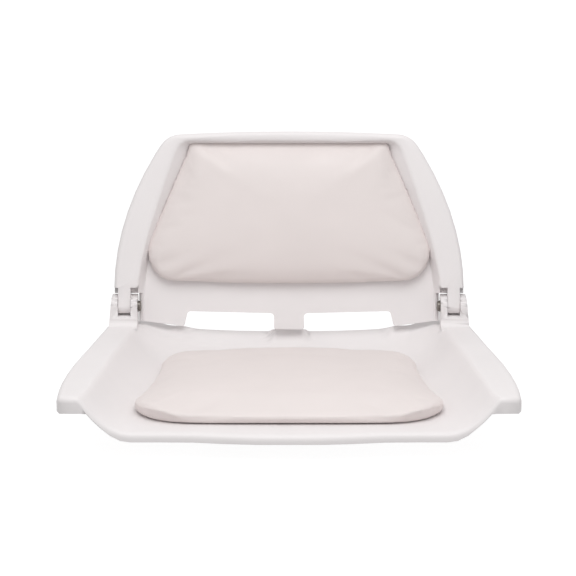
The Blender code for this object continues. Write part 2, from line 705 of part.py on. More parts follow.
def seat_shell():
    shell = make_object("seat_shell", seat_sheet(), SHELL_PLASTIC)
    wall = shell.modifiers.new("wall", "SOLIDIFY")
    wall.thickness = WALL
    wall.offset = -1
    wall.use_even_offset = True
    added = bpy.data.collections.new("seat_shell_added")
    cut = bpy.data.collections.new("seat_shell_cut")
    tub = platform_prism(0, 0, PAN_HEIGHT - WALL / 2, PLATFORM_CORNER)
    as_tool(make_object("platform_tub", tub, SHELL_PLASTIC), added)
    seat_ribs(added)
    well = platform_prism(WALL, PLATFORM_FLOOR, PAN_HEIGHT + OVERRUN, PLATFORM_CORNER - WALL)
    as_tool(make_object("platform_well", well, SHELL_PLASTIC), cut)
    for side, side_name in ((-1, "left"), (1, "right")):
        hinge_block(side, side_name, added)
        hinge_slot(side, side_name, cut)
        hinge_bores(side, side_name, cut)
    for number, (x, y) in enumerate(mount_places()):
        rod("mount_hole_%d" % number, TEE_BARREL_DIAMETER / 2 + GAP, -OVERRUN, PLATFORM_FLOOR + OVERRUN,
            ROUND_STEPS, Matrix.Translation((x, y, 0)), cut)
    for number, (x, y) in enumerate(seat_screw_places()):
        rod("seat_screw_hole_%d" % number, SCREW_DIAMETER / 2 + GAP, PAN_HEIGHT - WALL - OVERRUN,
            PAN_HEIGHT + OVERRUN, SCREW_STEPS, Matrix.Translation((x, y, 0)), cut)
    boolean(shell, added, "UNION")
    boolean(shell, cut, "DIFFERENCE")


# Backrest shell, in the backrest's plane

def back_crease(steps):
    """Inner edge of the rim band on one side, from its foot to its upper corner."""
    return bezier(
        (CREASE_FOOT_HALF, BACK_SIDE_START), (CREASE_TURN_HALF, CREASE_TURN_HEIGHT),
        (CREASE_SHOULDER_HALF, BACK_TOP - BAND_TOP), steps)


def crease_at(height):
    """Half width over the crease at a height up the backrest."""
    points = back_crease(SIDE_POINTS * SIDE_POINTS)
    for (low_half, low), (high_half, high) in zip(points, points[1:]):
        if height <= high:
            return mix(low_half, high_half, max(height - low, 0) / (high - low))
    return points[-1][0]


def half_path(side, top, corner):
    """One side of a rim line: up from the lobes, round the shoulder and to the middle of the top."""
    before = Vector(side[-2])
    shoulder = Vector(side[-1])
    crown = top - shoulder.y
    reach = min(corner, (shoulder - before).length)
    start = shoulder + (before - shoulder).normalized() * reach
    end = (shoulder.x - reach, shoulder.y)
    middle = []
    for step in range(1, TOP_POINTS + 1):
        share = step / TOP_POINTS
        middle.append((end[0] * (1 - share), top - crown * (1 - share) ** 2))
    rounded = bezier(tuple(start), tuple(shoulder), end, CORNER_POINTS)
    return [(side[0][0], LOBE_BOTTOM)] + side[:-1] + rounded + middle


def whole_path(half):
    return half + [(-x, height) for x, height in reversed(half[:-1])]


def narrowed(path, inset):
    """Open rim line moved inwards along its normals; its two feet keep their height."""
    moved = []
    last = len(path) - 1
    for index, point in enumerate(path):
        before = Vector(path[max(index - 1, 0)])
        after = Vector(path[min(index + 1, last)])
        along = (after - before).normalized()
        place = Vector(point) + Vector((-along.y, along.x)) * inset
        if index in (0, last):
            place.y = LOBE_BOTTOM
        moved.append(tuple(place))
    return moved


def panel_edge(x, height):
    """Foot of the bevel below a place on the crease: further in towards the upper corners."""
    climb = min(max((height - BACK_PAD_LOW) / (BACK_PAD_HIGH - BACK_PAD_LOW), 0), 1)
    widest = crease_at(height) - mix(BEVEL_LOW_RUN, BEVEL_HIGH_RUN, climb)
    fall = smooth((height - BACK_PAD_HIGH) / (BACK_TOP - BAND_TOP - BACK_CROWN_DROP - BACK_PAD_HIGH))
    return max(min(x, widest), -widest), height - BEVEL_TOP_RUN * fall


def bevel_path(crease, share):
    """Line across the bevel, at a share of the way from the crease to the panel."""
    feet = [panel_edge(x, height) for x, height in crease]
    return [tuple(Vector(point).lerp(Vector(foot), share)) for point, foot in zip(crease, feet)]


def rim_rings():
    """Rings of the tray from the back edge of its skirt to the edge of its panel, as (path, depth)."""
    turn = (BACK_FOOT_HALF, mix(BACK_SIDE_START, BACK_TOP, 1 / 2))
    shoulder = (BACK_SHOULDER_HALF, BACK_TOP - BACK_TOP_CROWN)
    side = bezier((BACK_FOOT_HALF, BACK_SIDE_START), turn, shoulder, SIDE_POINTS)
    outer = whole_path(half_path(side, BACK_TOP, BACK_CORNER))
    crease = whole_path(half_path(back_crease(SIDE_POINTS), BACK_TOP - BAND_TOP, CREASE_CORNER))
    rings = [(outer, RIM_DEPTH)]
    for step in range(EDGE_STEPS + 1):
        angle = pi / 2 * step / EDGE_STEPS
        inset = BACK_EDGE_RADIUS * (1 - cos(angle))
        rings.append((narrowed(outer, inset), -RIM_DEPTH + BACK_EDGE_RADIUS * (1 - sin(angle))))
    soft = BEVEL_SOFTNESS
    soft_share = soft / (PANEL_SET_BACK + RIM_DEPTH)
    rings.append((narrowed(crease, -soft), -RIM_DEPTH))
    rings.append((bevel_path(crease, soft_share), -RIM_DEPTH + soft))
    rings.append((bevel_path(crease, 1 - soft_share), PANEL_SET_BACK - soft))
    rings.append((bevel_path(crease, 1 + soft_share), PANEL_SET_BACK))
    return rings


def lobe_edge(foot_half):
    """Lower edge of the panel on the right, from its outer corner in to the middle."""
    outer = (foot_half, LOBE_BOTTOM)
    inner = (LOBE_INNER_HALF, -LOBE_INNER_DROP)
    notch_outer = (NOTCH_HALF, -NOTCH_TOP_OUTER_DROP)
    notch_inner = (LOBE_CENTRE_HALF, -NOTCH_TOP_INNER_DROP)
    centre = (LOBE_CENTRE_HALF, -LOBE_CENTRE_DROP)
    edge = fillet(outer, inner, notch_outer, LOBE_CORNER, CORNER_STEPS)
    edge += fillet(inner, notch_outer, notch_inner, NOTCH_CORNER, CORNER_STEPS)
    edge += fillet(notch_outer, notch_inner, centre, NOTCH_CORNER, CORNER_STEPS)
    edge += fillet(notch_inner, centre, (0, -LOBE_CENTRE_DROP), LOBE_CORNER, CORNER_STEPS)
    return edge


def back_sheet():
    rings = rim_rings()
    placed = [[(x, depth, height) for x, height in path] for path, depth in rings]
    mesh_data, rows = loft(placed, closed_rings=False)
    right = lobe_edge(rings[-1][0][0][0])
    lower = [(-x, height) for x, height in right] + right[::-1]
    edge = [mesh_data.verts.new((x, PANEL_SET_BACK, height)) for x, height in lower]
    mesh_data.faces.new(rows[-1] + edge)
    return mesh_data


def relief(name, side, inner, top, low_depth, high_depth, axis, group):
    """Cutter that clears the tray outside a place, below a height and between two depths."""
    outer = BACK_FOOT_HALF + OVERRUN
    low = LOBE_BOTTOM - LOBE_CENTRE_DROP
    outline = [(side * x, height) for x, height in box((inner, low), (outer, top))]
    tool = make_object(name, prism(outline, low_depth, high_depth, "Y"), SHELL_PLASTIC, axis)
    as_tool(tool, group)


def reliefs(side, side_name, axis, group):
    """Clears the tray away round the ears, and round the bolt's head and washer."""
    front = -RIM_DEPTH - OVERRUN
    back = PANEL_SET_BACK + WALL + OVERRUN
    beside_ear = EAR_INNER_FACE - EAR_PLAY
    beside_head = HEAD_FACE - HEAD_PLAY
    behind_head = WASHER_DIAMETER / 2 + HEAD_PLAY
    relief("relief_ears_" + side_name, side, beside_ear, RIM_FOOT, front, back, axis, group)
    relief("relief_front_" + side_name, side, beside_ear, RELIEF_HEIGHT, front, RELIEF_DEPTH, axis, group)
    relief("relief_head_" + side_name, side, beside_head, RIM_FOOT, front, behind_head, axis, group)


def knuckle(side, side_name, axis, group):
    """Lug that runs down from the rim between the ears and turns on the bolt."""
    outline = arc((0, 0), KNUCKLE_RADIUS, pi, 2 * pi, 2 * ARC_STEPS)
    top = RELIEF_HEIGHT + RIM_END_WALL
    outline += [(KNUCKLE_RADIUS, top), (-KNUCKLE_RADIUS, top)]
    start = SLOT_INNER + KNUCKLE_PLAY
    mesh_data = prism(outline, side * start, side * (start + KNUCKLE_WIDTH), "X")
    as_tool(make_object("knuckle_" + side_name, mesh_data, SHELL_PLASTIC, axis), group)


def rim_end(side, side_name, axis, group):
    """Stepped wall that closes the rim's channel round the relief and carries the knuckle."""
    front = WALL / 2 - RIM_DEPTH
    shelf = RELIEF_HEIGHT + RIM_END_WALL
    step_back = RELIEF_DEPTH + RIM_END_WALL
    outline = [(front, RELIEF_HEIGHT), (RELIEF_DEPTH, RELIEF_HEIGHT), (RELIEF_DEPTH, RIM_FOOT),
               (step_back, RIM_FOOT), (step_back, shelf), (front, shelf)]
    inner = CREASE_FOOT_HALF - WALL / 2
    outer = BACK_FOOT_HALF - WALL / 2
    mesh_data = prism(outline, side * inner, side * outer, "X")
    as_tool(make_object("rim_end_" + side_name, mesh_data, SHELL_PLASTIC, axis), group)


def gusset(name, crease, wall, outer, axis, group):
    """Web across the rim's channel, from the sloping bevel wall to the skirt."""
    crease = Vector(crease)
    outer = Vector(outer)
    lean = max((Vector(wall) - crease).length - WALL / 2, 0)
    front = WALL / 2 - RIM_DEPTH
    back = RIM_DEPTH - WALL / 2
    run = (outer - crease).length
    outline = [(-lean, back), (0, front), (run, front), (run, back)]
    mesh_data = prism(outline, -GUSSET_THICKNESS / 2, GUSSET_THICKNESS / 2, "Z")
    made = make_object(name, mesh_data, SHELL_PLASTIC, axis)
    direction = outer - crease
    made.location = (crease.x, 0, crease.y)
    made.rotation_euler = (0, -direction.angle_signed(Vector((1, 0))), 0)
    as_tool(made, group)


def rim_gussets(axis, group):
    rings = rim_rings()
    outer = narrowed(rings[0][0], WALL / 2)
    crease = narrowed(rings[-4][0], WALL / 2)
    back_share = (2 * RIM_DEPTH - WALL / 2) / (PANEL_SET_BACK + RIM_DEPTH)
    wall = bevel_path(crease, back_share)
    half_count = len(outer) // 2
    side_end = SIDE_POINTS + 1
    chosen = [round(side_end * share) for share in GUSSET_SHARES]
    chosen += [half_count - round(TOP_POINTS * share) for share in TOP_GUSSET_SHARES]
    for number, index in enumerate(chosen):
        gusset("gusset_right_%d" % number, crease[index], wall[index], outer[index], axis, group)
        mirrored = len(outer) - 1 - index
        if mirrored != index:
            gusset("gusset_left_%d" % number, crease[mirrored], wall[mirrored], outer[mirrored], axis,
                   group)


def backrest_shell(axis):
    shell = make_object("backrest_shell", back_sheet(), SHELL_PLASTIC, axis)
    wall = shell.modifiers.new("wall", "SOLIDIFY")
    wall.thickness = WALL
    wall.offset = -1
    wall.use_even_offset = True
    cleared = bpy.data.collections.new("backrest_cleared")
    added = bpy.data.collections.new("backrest_added")
    cut = bpy.data.collections.new("backrest_cut")
    for side, side_name in ((-1, "left"), (1, "right")):
        reliefs(side, side_name, axis, cleared)
        knuckle(side, side_name, axis, added)
        rim_end(side, side_name, axis, added)
        start = side * (SLOT_INNER + KNUCKLE_PLAY)
        place = Matrix.Translation((start, 0, 0)) @ Matrix.Rotation(side * pi / 2, 4, "Y")
        bore = BOLT_DIAMETER / 2 + GAP + BUSH_WALL + GAP
        rod("knuckle_bore_" + side_name, bore, -OVERRUN, KNUCKLE_WIDTH + OVERRUN, ROUND_STEPS, place, cut)
        cut.objects[-1].parent = axis
    rim_gussets(axis, added)
    for number, (x, height) in enumerate(back_screw_places()):
        place = Matrix.Translation((x, PANEL_SET_BACK, height)) @ Matrix.Rotation(-pi / 2, 4, "X")
        rod("back_screw_hole_%d" % number, SCREW_DIAMETER / 2 + GAP, -OVERRUN, WALL + OVERRUN, SCREW_STEPS,
            place, cut)
        cut.objects[-1].parent = axis
    boolean(shell, cleared, "DIFFERENCE")
    boolean(shell, added, "UNION")
    boolean(shell, cut, "DIFFERENCE")


# Pads

def inset_trapezoid(corners, radii, bows, inset):
    """Outline of a pad, moved inwards with its corners drawn tighter."""
    tighter = [max(radius - inset, PAD_TIGHTEST_CORNER) for radius in radii]
    return rounded_outline(inset_outline(corners, inset), tighter, bows, PAD_SIDE_STEPS, ARC_STEPS)


def seat_pad_outline(inset):
    corners = [(SEAT_PAD_FRONT_HALF, -SEAT_PAD_FRONT), (SEAT_PAD_REAR_HALF, SEAT_PAD_REAR),
               (-SEAT_PAD_REAR_HALF, SEAT_PAD_REAR), (-SEAT_PAD_FRONT_HALF, -SEAT_PAD_FRONT)]
    radii = [SEAT_PAD_FRONT_CORNER, SEAT_PAD_REAR_CORNER, SEAT_PAD_REAR_CORNER, SEAT_PAD_FRONT_CORNER]
    bows = [-SEAT_PAD_PULL, SEAT_PAD_REAR_BOW, -SEAT_PAD_PULL, SEAT_PAD_FRONT_BOW]
    return inset_trapezoid(corners, radii, bows, inset)


def back_pad_outline(inset):
    """Trapezoid whose sides keep their margins to the crease of the rim band."""
    low_half = crease_at(BACK_PAD_LOW) - BACK_PAD_LOW_MARGIN
    high_half = crease_at(BACK_PAD_HIGH) - BACK_PAD_HIGH_MARGIN
    lean = (high_half - low_half) / (BACK_PAD_HIGH - BACK_PAD_LOW)
    top = BACK_TOP - BAND_TOP - BACK_PAD_TOP_MARGIN
    bottom_half = low_half + lean * (BACK_PAD_BOTTOM - BACK_PAD_LOW)
    top_half = low_half + lean * (top - BACK_PAD_LOW)
    corners = [(bottom_half, BACK_PAD_BOTTOM), (top_half, top), (-top_half, top),
               (-bottom_half, BACK_PAD_BOTTOM)]
    radii = [BACK_PAD_LOW_CORNER, BACK_PAD_HIGH_CORNER, BACK_PAD_HIGH_CORNER, BACK_PAD_LOW_CORNER]
    return inset_trapezoid(corners, radii, [0, 0, 0, BACK_PAD_SAG], inset)


def pad_middle(outline_at):
    heights = [point[1] for point in outline_at(0)]
    return Vector((0, (min(heights) + max(heights)) / 2))


def pad_profile(height):
    """Edge of a pad from its foot up, as (inset from the widest outline, height)."""
    return [(inset_share * height, height_share * height) for inset_share, height_share in PAD_EDGE_SHARES]


def inner_profile(profile, skin):
    """The same edge inside the skin, from the top of the board up."""
    moved = []
    last = len(profile) - 1
    for index, (inset, height) in enumerate(profile):
        before = profile[max(index - 1, 0)]
        after = profile[min(index + 1, last)]
        along = Vector((after[0] - before[0], after[1] - before[1])).normalized()
        moved.append((inset + skin * along.y, height - skin * along.x))
    above = [point for point in moved if point[1] > FOAM_BOTTOM + FOAM_GAP]
    below = moved[len(moved) - len(above) - 1]
    share = (FOAM_BOTTOM - below[1]) / (above[0][1] - below[1])
    return [(mix(below[0], above[0][0], share), FOAM_BOTTOM)] + above


def pad_rings(outline_at, profile, top):
    """Rings up a pad's edge and over its crown to the height of its top."""
    rings = [[(x, y, height) for x, y in outline_at(inset)] for inset, height in profile]
    inset, edge = profile[-1]
    middle = pad_middle(outline_at)
    for share in CROWN_SHARES:
        height = edge + (top - edge) * (1 - share * share)
        rings.append([(*middle.lerp(Vector(point), share), height) for point in outline_at(inset)])
    return rings


def close_crown(mesh_data, ring, middle, height):
    top = mesh_data.verts.new((middle.x, middle.y, height))
    for index, vert in enumerate(ring):
        mesh_data.faces.new((vert, ring[(index + 1) % len(ring)], top))


def pad_cover(name, outline_at, height, empty):
    """Vinyl skin: crown, rounded sides drawn in at the foot, and a hem turned under the board."""
    profile = pad_profile(height)
    foot_inset = profile[0][0]
    profile[0] = (foot_inset, GAP)
    rings = pad_rings(outline_at, [(foot_inset + HEM, GAP)] + profile, height)
    mesh_data, rows = loft(rings, closed_rings=True)
    close_crown(mesh_data, rows[-1], pad_middle(outline_at), height)
    cover = make_object(name, mesh_data, VINYL, empty)
    skin = cover.modifiers.new("skin", "SOLIDIFY")
    skin.thickness = COVER
    skin.offset = -1
    skin.use_even_offset = True


def pad_foam(name, outline_at, height, empty):
    """Foam between the board and the cover."""
    skin = COVER + FOAM_GAP
    rings = pad_rings(outline_at, inner_profile(pad_profile(height), skin), height - skin)
    mesh_data, rows = loft(rings, closed_rings=True)
    close_crown(mesh_data, rows[-1], pad_middle(outline_at), height - skin)
    mesh_data.faces.new(rows[0])
    make_object(name, mesh_data, FOAM, empty)


def pad_board(name, outline_at, empty):
    mesh_data = prism(outline_at(BOARD_INSET), BOARD_BOTTOM, BOARD_TOP)
    make_object(name, mesh_data, PLYWOOD, empty)


def pan_head(radius, height):
    """Profile of a pan head below zero, from its middle out to its bearing face."""
    rise = height * HEAD_ROUND_SHARE
    halfway = rise * (1 - cos(pi / 4))
    return [(0, -height), (radius - rise, -height), (radius - halfway, halfway - height),
            (radius, rise - height), (radius, 0)]


def make_placed(name, mesh_data, place, finish, empty=None):
    """Object whose own origin stays on the piece's axis."""
    made = make_object(name, mesh_data, finish, empty)
    made.matrix_local = place
    return made


def pad_fixings(prefix, places, empty, shell_wall):
    """Screws through the shell into the board, each with a washer under its head."""
    head_face = -shell_wall - GAP - WASHER_THICKNESS - GAP
    tip = BOARD_BOTTOM + BOARD * SCREW_BITE_SHARE
    pilot = SCREW_DIAMETER / 2
    for number, (x, y) in enumerate(places, 1):
        profile = pan_head(SCREW_HEAD_DIAMETER / 2, SCREW_HEAD_HEIGHT)
        profile += [(pilot, 0), (pilot, tip - head_face - SCREW_DIAMETER / 2),
                    (pilot * SCREW_TIP_SHARE, tip - head_face), (0, tip - head_face)]
        screw = turned(profile, SCREW_STEPS, closed=False)
        place = Matrix.Translation((x, y, head_face))
        make_placed("%s_screw_%d" % (prefix, number), screw, place, STEEL, empty)
        inner = SCREW_DIAMETER / 2 + GAP
        outer = SCREW_WASHER_DIAMETER / 2
        ring = [(inner, 0), (outer, 0), (outer, WASHER_THICKNESS), (inner, WASHER_THICKNESS)]
        washer = turned(ring, ROUND_STEPS, closed=True)
        place = Matrix.Translation((x, y, head_face + GAP))
        make_placed("%s_washer_%d" % (prefix, number), washer, place, STEEL, empty)


def pilot_holes(board_name, places, empty):
    """Holes in a board for its screws."""
    cut = bpy.data.collections.new(board_name + "_cut")
    for number, (x, y) in enumerate(places):
        rod("%s_hole_%d" % (board_name, number), SCREW_DIAMETER / 2 + GAP, BOARD_BOTTOM - OVERRUN,
            BOARD_TOP + OVERRUN, SCREW_STEPS, Matrix.Translation((x, y, 0)), cut)
        cut.objects[-1].parent = empty
    boolean(bpy.data.objects[board_name], cut, "DIFFERENCE")


def pad(prefix, outline_at, height, screw_places, empty):
    pad_cover(prefix + "_cover", outline_at, height, empty)
    pad_foam(prefix + "_foam", outline_at, height, empty)
    pad_board(prefix + "_board", outline_at, empty)
    pilot_holes(prefix + "_board", screw_places, empty)
    pad_fixings(prefix, screw_places, empty, WALL)


def seat_screw_places():
    return [(x, y) for x in (-SEAT_SCREW_HALF, SEAT_SCREW_HALF)
            for y in (-SEAT_SCREW_REACH, SEAT_SCREW_REACH)]


def back_screw_places():
    return [(x, height) for x in (-BACK_SCREW_HALF, BACK_SCREW_HALF)
            for height in (BACK_SCREW_LOW, BACK_SCREW_HIGH)]


# Hinge and mounting hardware

def mount_places():
    half = MOUNT_PITCH / 2
    return [(x, y) for x in (-half, half) for y in (-half, half)]


def tee_nuts():
    """Flanged nuts, their barrels in the holes of the platform floor."""
    bore = TEE_BORE_DIAMETER / 2
    barrel = TEE_BARREL_DIAMETER / 2
    flange = TEE_FLANGE_DIAMETER / 2
    face = PLATFORM_FLOOR + GAP
    ring = [(bore, GAP), (barrel, GAP), (barrel, face), (flange, face),
            (flange, face + TEE_FLANGE_THICKNESS), (bore, face + TEE_FLANGE_THICKNESS)]
    for number, (x, y) in enumerate(mount_places(), 1):
        nut = turned(ring, ROUND_STEPS, closed=True)
        make_placed("mount_tee_nut_%d" % number, nut, Matrix.Translation((x, y, 0)), STEEL)


def hinge_bolt(side, side_name):
    """Pan head bolt from the inner ear out to the nut."""
    head_face = EAR_INNER_FACE - GAP - WASHER_THICKNESS - GAP
    length = EAR_OUTER_FACE - GAP - head_face
    shank = BOLT_DIAMETER / 2
    profile = pan_head(BOLT_HEAD_DIAMETER / 2, BOLT_HEAD_HEIGHT)
    profile += [(shank, 0), (shank, length), (0, length)]
    bolt = turned(profile, ROUND_STEPS, closed=False)
    make_placed("hinge_bolt_" + side_name, bolt, along_pin(side, head_face), STEEL)


def hinge_washer(side, side_name):
    inner = BOLT_DIAMETER / 2 + GAP
    outer = WASHER_DIAMETER / 2
    ring = [(inner, 0), (outer, 0), (outer, WASHER_THICKNESS), (inner, WASHER_THICKNESS)]
    washer = turned(ring, ROUND_STEPS, closed=True)
    start = EAR_INNER_FACE - GAP - WASHER_THICKNESS
    make_placed("hinge_washer_" + side_name, washer, along_pin(side, start), STEEL)


def hexagon_radius(angle):
    """Distance from a nut's middle to its flats, with corners across the Y axis."""
    corner = pi / NUT_SIDES
    return NUT_WIDTH / 2 / cos((angle + corner) % (2 * corner) - corner)


def hinge_nut(side, side_name):
    """Lock nut: hexagon with a round collar, seated in the outer ear's pocket."""
    bore = BOLT_DIAMETER / 2 + GAP
    collar = NUT_WIDTH / 2 - GAP
    shoulder = NUT_HEIGHT * (1 - NUT_COLLAR_SHARE)
    steps = NUT_STEPS_PER_SIDE * NUT_SIDES
    turns = [2 * pi * step / steps for step in range(steps)]
    hexagon = [hexagon_radius(turn) for turn in turns]
    outside = [collar] * steps
    inside = [bore] * steps
    levels = [(hexagon, 0), (hexagon, shoulder), (outside, shoulder), (outside, NUT_HEIGHT),
              (inside, NUT_HEIGHT), (inside, 0), (hexagon, 0)]
    rings = [[(radius * cos(turn), radius * sin(turn), height) for radius, turn in zip(radii, turns)]
             for radii, height in levels]
    nut = loft(rings, closed_rings=True)[0]
    make_placed("hinge_nut_" + side_name, nut, along_pin(side, EAR_OUTER_FACE - NUT_HEIGHT), STEEL)


def hinge_bush(side, side_name, axis):
    """Nylon sleeve in the knuckle, a little longer than it, so that the bolt can be drawn tight."""
    inner = BOLT_DIAMETER / 2 + GAP
    outer = inner + BUSH_WALL
    length = SLOT_WIDTH - 2 * GAP
    ring = [(inner, 0), (outer, 0), (outer, length), (inner, length)]
    bush = turned(ring, ROUND_STEPS, closed=True)
    place = Matrix.Translation((side * (SLOT_INNER + GAP), 0, 0)) @ Matrix.Rotation(side * pi / 2, 4, "Y")
    make_placed("hinge_bush_" + side_name, bush, place, NYLON, axis)


def main():
    for item in list(bpy.data.objects):
        bpy.data.objects.remove(item)
    fold_axis = make_empty("fold_axis", (0, PIN_REACH, PIN_HEIGHT), (-RECLINE, 0, 0))
    seat_pad_base = make_empty("seat_pad_base", (0, 0, PAN_HEIGHT))
    back_pad_base = make_empty("back_pad_base", (0, PANEL_SET_BACK, 0), (pi / 2, 0, 0), fold_axis)
    seat_shell()
    backrest_shell(fold_axis)
    pad("seat_cushion", seat_pad_outline, SEAT_PAD_HEIGHT, seat_screw_places(), seat_pad_base)
    pad("back_cushion", back_pad_outline, BACK_PAD_HEIGHT, back_screw_places(), back_pad_base)
    tee_nuts()
    for side, side_name in ((-1, "left"), (1, "right")):
        hinge_bolt(side, side_name)
        hinge_washer(side, side_name)
        hinge_nut(side, side_name)
        hinge_bush(side, side_name, fold_axis)


main()
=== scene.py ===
"""Looks of the folding boat seat: moulded shells, vinyl cushions, hardware and the stage."""
import math

import bpy
from mathutils import Matrix, Vector


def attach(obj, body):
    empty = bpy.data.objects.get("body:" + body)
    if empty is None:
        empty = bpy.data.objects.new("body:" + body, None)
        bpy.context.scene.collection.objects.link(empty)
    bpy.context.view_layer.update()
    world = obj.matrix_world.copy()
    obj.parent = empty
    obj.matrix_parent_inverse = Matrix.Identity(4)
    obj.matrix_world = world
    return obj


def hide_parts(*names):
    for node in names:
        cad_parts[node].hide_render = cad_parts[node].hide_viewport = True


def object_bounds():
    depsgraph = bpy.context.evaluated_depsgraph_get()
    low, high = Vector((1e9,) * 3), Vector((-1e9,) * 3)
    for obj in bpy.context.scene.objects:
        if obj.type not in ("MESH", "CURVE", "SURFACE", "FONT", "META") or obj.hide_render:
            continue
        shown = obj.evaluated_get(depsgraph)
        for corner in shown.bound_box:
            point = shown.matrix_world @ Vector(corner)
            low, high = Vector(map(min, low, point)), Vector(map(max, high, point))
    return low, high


bl_info = {
    "name": "Folding boat seat",
    "version": (1, 0, 0),
    "blender": (4, 5, 0),
    "location": "3D View > Sidebar > Boat seat",
    "description": "Dresses the folding boat seat with moulded shells, vinyl cushions and hardware",
    "category": "Object",
}

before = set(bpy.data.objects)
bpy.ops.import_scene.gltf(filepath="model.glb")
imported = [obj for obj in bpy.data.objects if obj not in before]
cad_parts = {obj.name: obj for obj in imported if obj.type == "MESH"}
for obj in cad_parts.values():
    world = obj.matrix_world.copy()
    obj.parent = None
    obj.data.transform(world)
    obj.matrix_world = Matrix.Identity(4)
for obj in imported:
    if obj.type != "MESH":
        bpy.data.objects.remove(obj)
CAD_LOW, CAD_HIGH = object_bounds()

MM = 0.001

SHELLS = {"seat_shell": "seat", "backrest_shell": "backrest"}
HINGE_STEEL = ("hinge_bolt", "hinge_washer", "hinge_nut")
SIDES = ("left", "right")
COPIES = (1, 2, 3, 4)
RECLINE = math.radians(13)
SEAT_TURN = Matrix.Identity(4)
BACK_TURN = Matrix.Rotation(math.radians(90) - RECLINE, 4, "X")

# Colours and roughness of the parts without settings of their own
# The steel's colour is much darker than bare stainless steel: the steel's own grey with painted
# shade, so that the bolt heads look shaded in their recesses
STEEL_WITH_PAINTED_SHADE = (0.24, 0.22, 0.2)
STEEL_ROUGHNESS = 0.45
ZINC = (0.62, 0.62, 0.6)
ZINC_ROUGHNESS = 0.4
NYLON_ROUGHNESS = (0.3, 0.42)
NYLON_TONES = ((0.78, 0.76, 0.7, 1.0), (0.86, 0.84, 0.79, 1.0))
FOAM_ROUGHNESS = 0.95
FOAM_TONES = ((0.5, 0.4, 0.2, 1.0), (0.82, 0.72, 0.5, 1.0))
PLY_ROUGHNESS = 0.7
PLY_TONES = ((0.42, 0.27, 0.13, 1.0), (0.66, 0.48, 0.28, 1.0))
WHITE = (1.0, 1.0, 1.0, 1.0)

# Patterns: size and fineness of each, its stretch, and how far it reaches
FLOW = (90 * MM, 3.0)
RUB = (25 * MM, 4.0)
RUB_SPREAD = 0.05
MOULD_FINENESS = 3.0
MOTTLE = (60 * MM, 3.0)
HANDLED = (35 * MM, 3.0)
HANDLED_SPREAD = 0.06
TURNING = (0.8 * MM, 2.0)
TURNING_STRETCH = (6.0, 1.0, 1.0)
TURNING_SPREAD = 0.07
TURNING_DEPTH = 0.01 * MM
CLOUD = (4 * MM, 2.0)
PORE_SIZE = 1.4 * MM
PORE_DEPTH = 0.4 * MM
PLY_GRAIN = (2.5 * MM, 5.0)
PLY_GRAIN_STRETCH = (0.08, 1.0, 1.0)
PLY_GRAIN_DEPTH = 0.08 * MM
TONE_RANGE = (0.985, 1.01)
STEEL_TONE_RANGE = (0.9, 1.05)
NOISE_RANGE = (0.3, 0.7)

# Joining and shading the shells
JOIN_DISTANCE = 0.005 * MM
SMOOTH_ANGLE = math.radians(32)

# The pan's rear edge, in the frame's axes, and how finely its faces are cut first
REAR_CUTS = 2
REAR_FOOT_Y = 172 * MM
REAR_TOP_Y = 192 * MM
REAR_LOW_Z = 38 * MM
REAR_CUT_X = 160 * MM
REAR_END_X = 162 * MM
CENTRE_LOBE_X = 20 * MM
OUTER_LOBE_X = 125 * MM
LOBE_BLEND = 5 * MM
FADE_X = 140 * MM
FADE_LENGTH = 20 * MM
TAB_RISE = 1.4 * MM

# How the cloth is blown up
CLOTH_FRAMES = 20
CLOTH_QUALITY = 6
CLOTH_STIFFNESS = 25.0
CLOTH_BENDING = 2.0

# The seat cushion's tailoring, measured in the pad
SEAT_ROLLS = {"front": (50 * MM, 0.26), "rear": (40 * MM, 0.12), "side": (50 * MM, 0.14)}
SEAT_HEM_REACH = 22 * MM
SEAT_HEM_LIFT = 2.2 * MM
SEAT_CORNER_LIFTS = ((75 * MM, 9 * MM), (55 * MM, 6 * MM))
SEAT_CORNER_INSET = 52 * MM
SEAT_PLEAT_RADIUS = 56 * MM
SEAT_PLEAT_FOOT = 7 * MM
SEAT_PLEAT_WIDTH = 3.6 * MM
SEAT_PLEATS = ((18, 12 * MM), (38, 15 * MM), (60, 13 * MM))
TUCK_START = (157 * MM, 10 * MM, 17 * MM)
TUCK_END = (150 * MM, 78 * MM, 21 * MM)
TUCK_WIDTH = 4.5 * MM
TUCK_FACTOR = 2

# The back cushion's tailoring, measured in the pad
BACK_PRESS_UP = 6.0 * MM
BACK_PRESS_SIDEWAYS = 1.8 * MM
BACK_CORNER_INSET = (38 * MM, 36 * MM)
BACK_PLEAT_RADIUS = 40 * MM
BACK_PLEAT_FOOT = 5 * MM
BACK_PLEAT_WIDTH = 3.4 * MM
BACK_PLEATS = ((25, 9 * MM), (50, 9 * MM), (72, 9 * MM))

# Both pads: how folds lean and fade out, and how soon a pad's rim counts as its side
PLEAT_LEAN = 4 * MM
PLEAT_FADE = 1.25
RIM_STEEPNESS = 2.0

# The stage: the floor, the horizon's softness and the camera fitted to the photo
FLOOR_SIZE = 30.0
FLOOR_GAP = 0.5 * MM
FLOOR_ROUGHNESS = 0.9
FLOOR_SPECULAR = 0.1
HORIZON = 0.1
CAMERA_PLACE = (0.0, -2.44577, 0.67075)
CAMERA_TILT = math.radians(78.0)
SENSOR_WIDTH = 36.0
PHOTO_WIDTH = 576.0
PHOTO_FOCUS = 2155.7
PHOTO_SHIFT = -1.0


# Properties


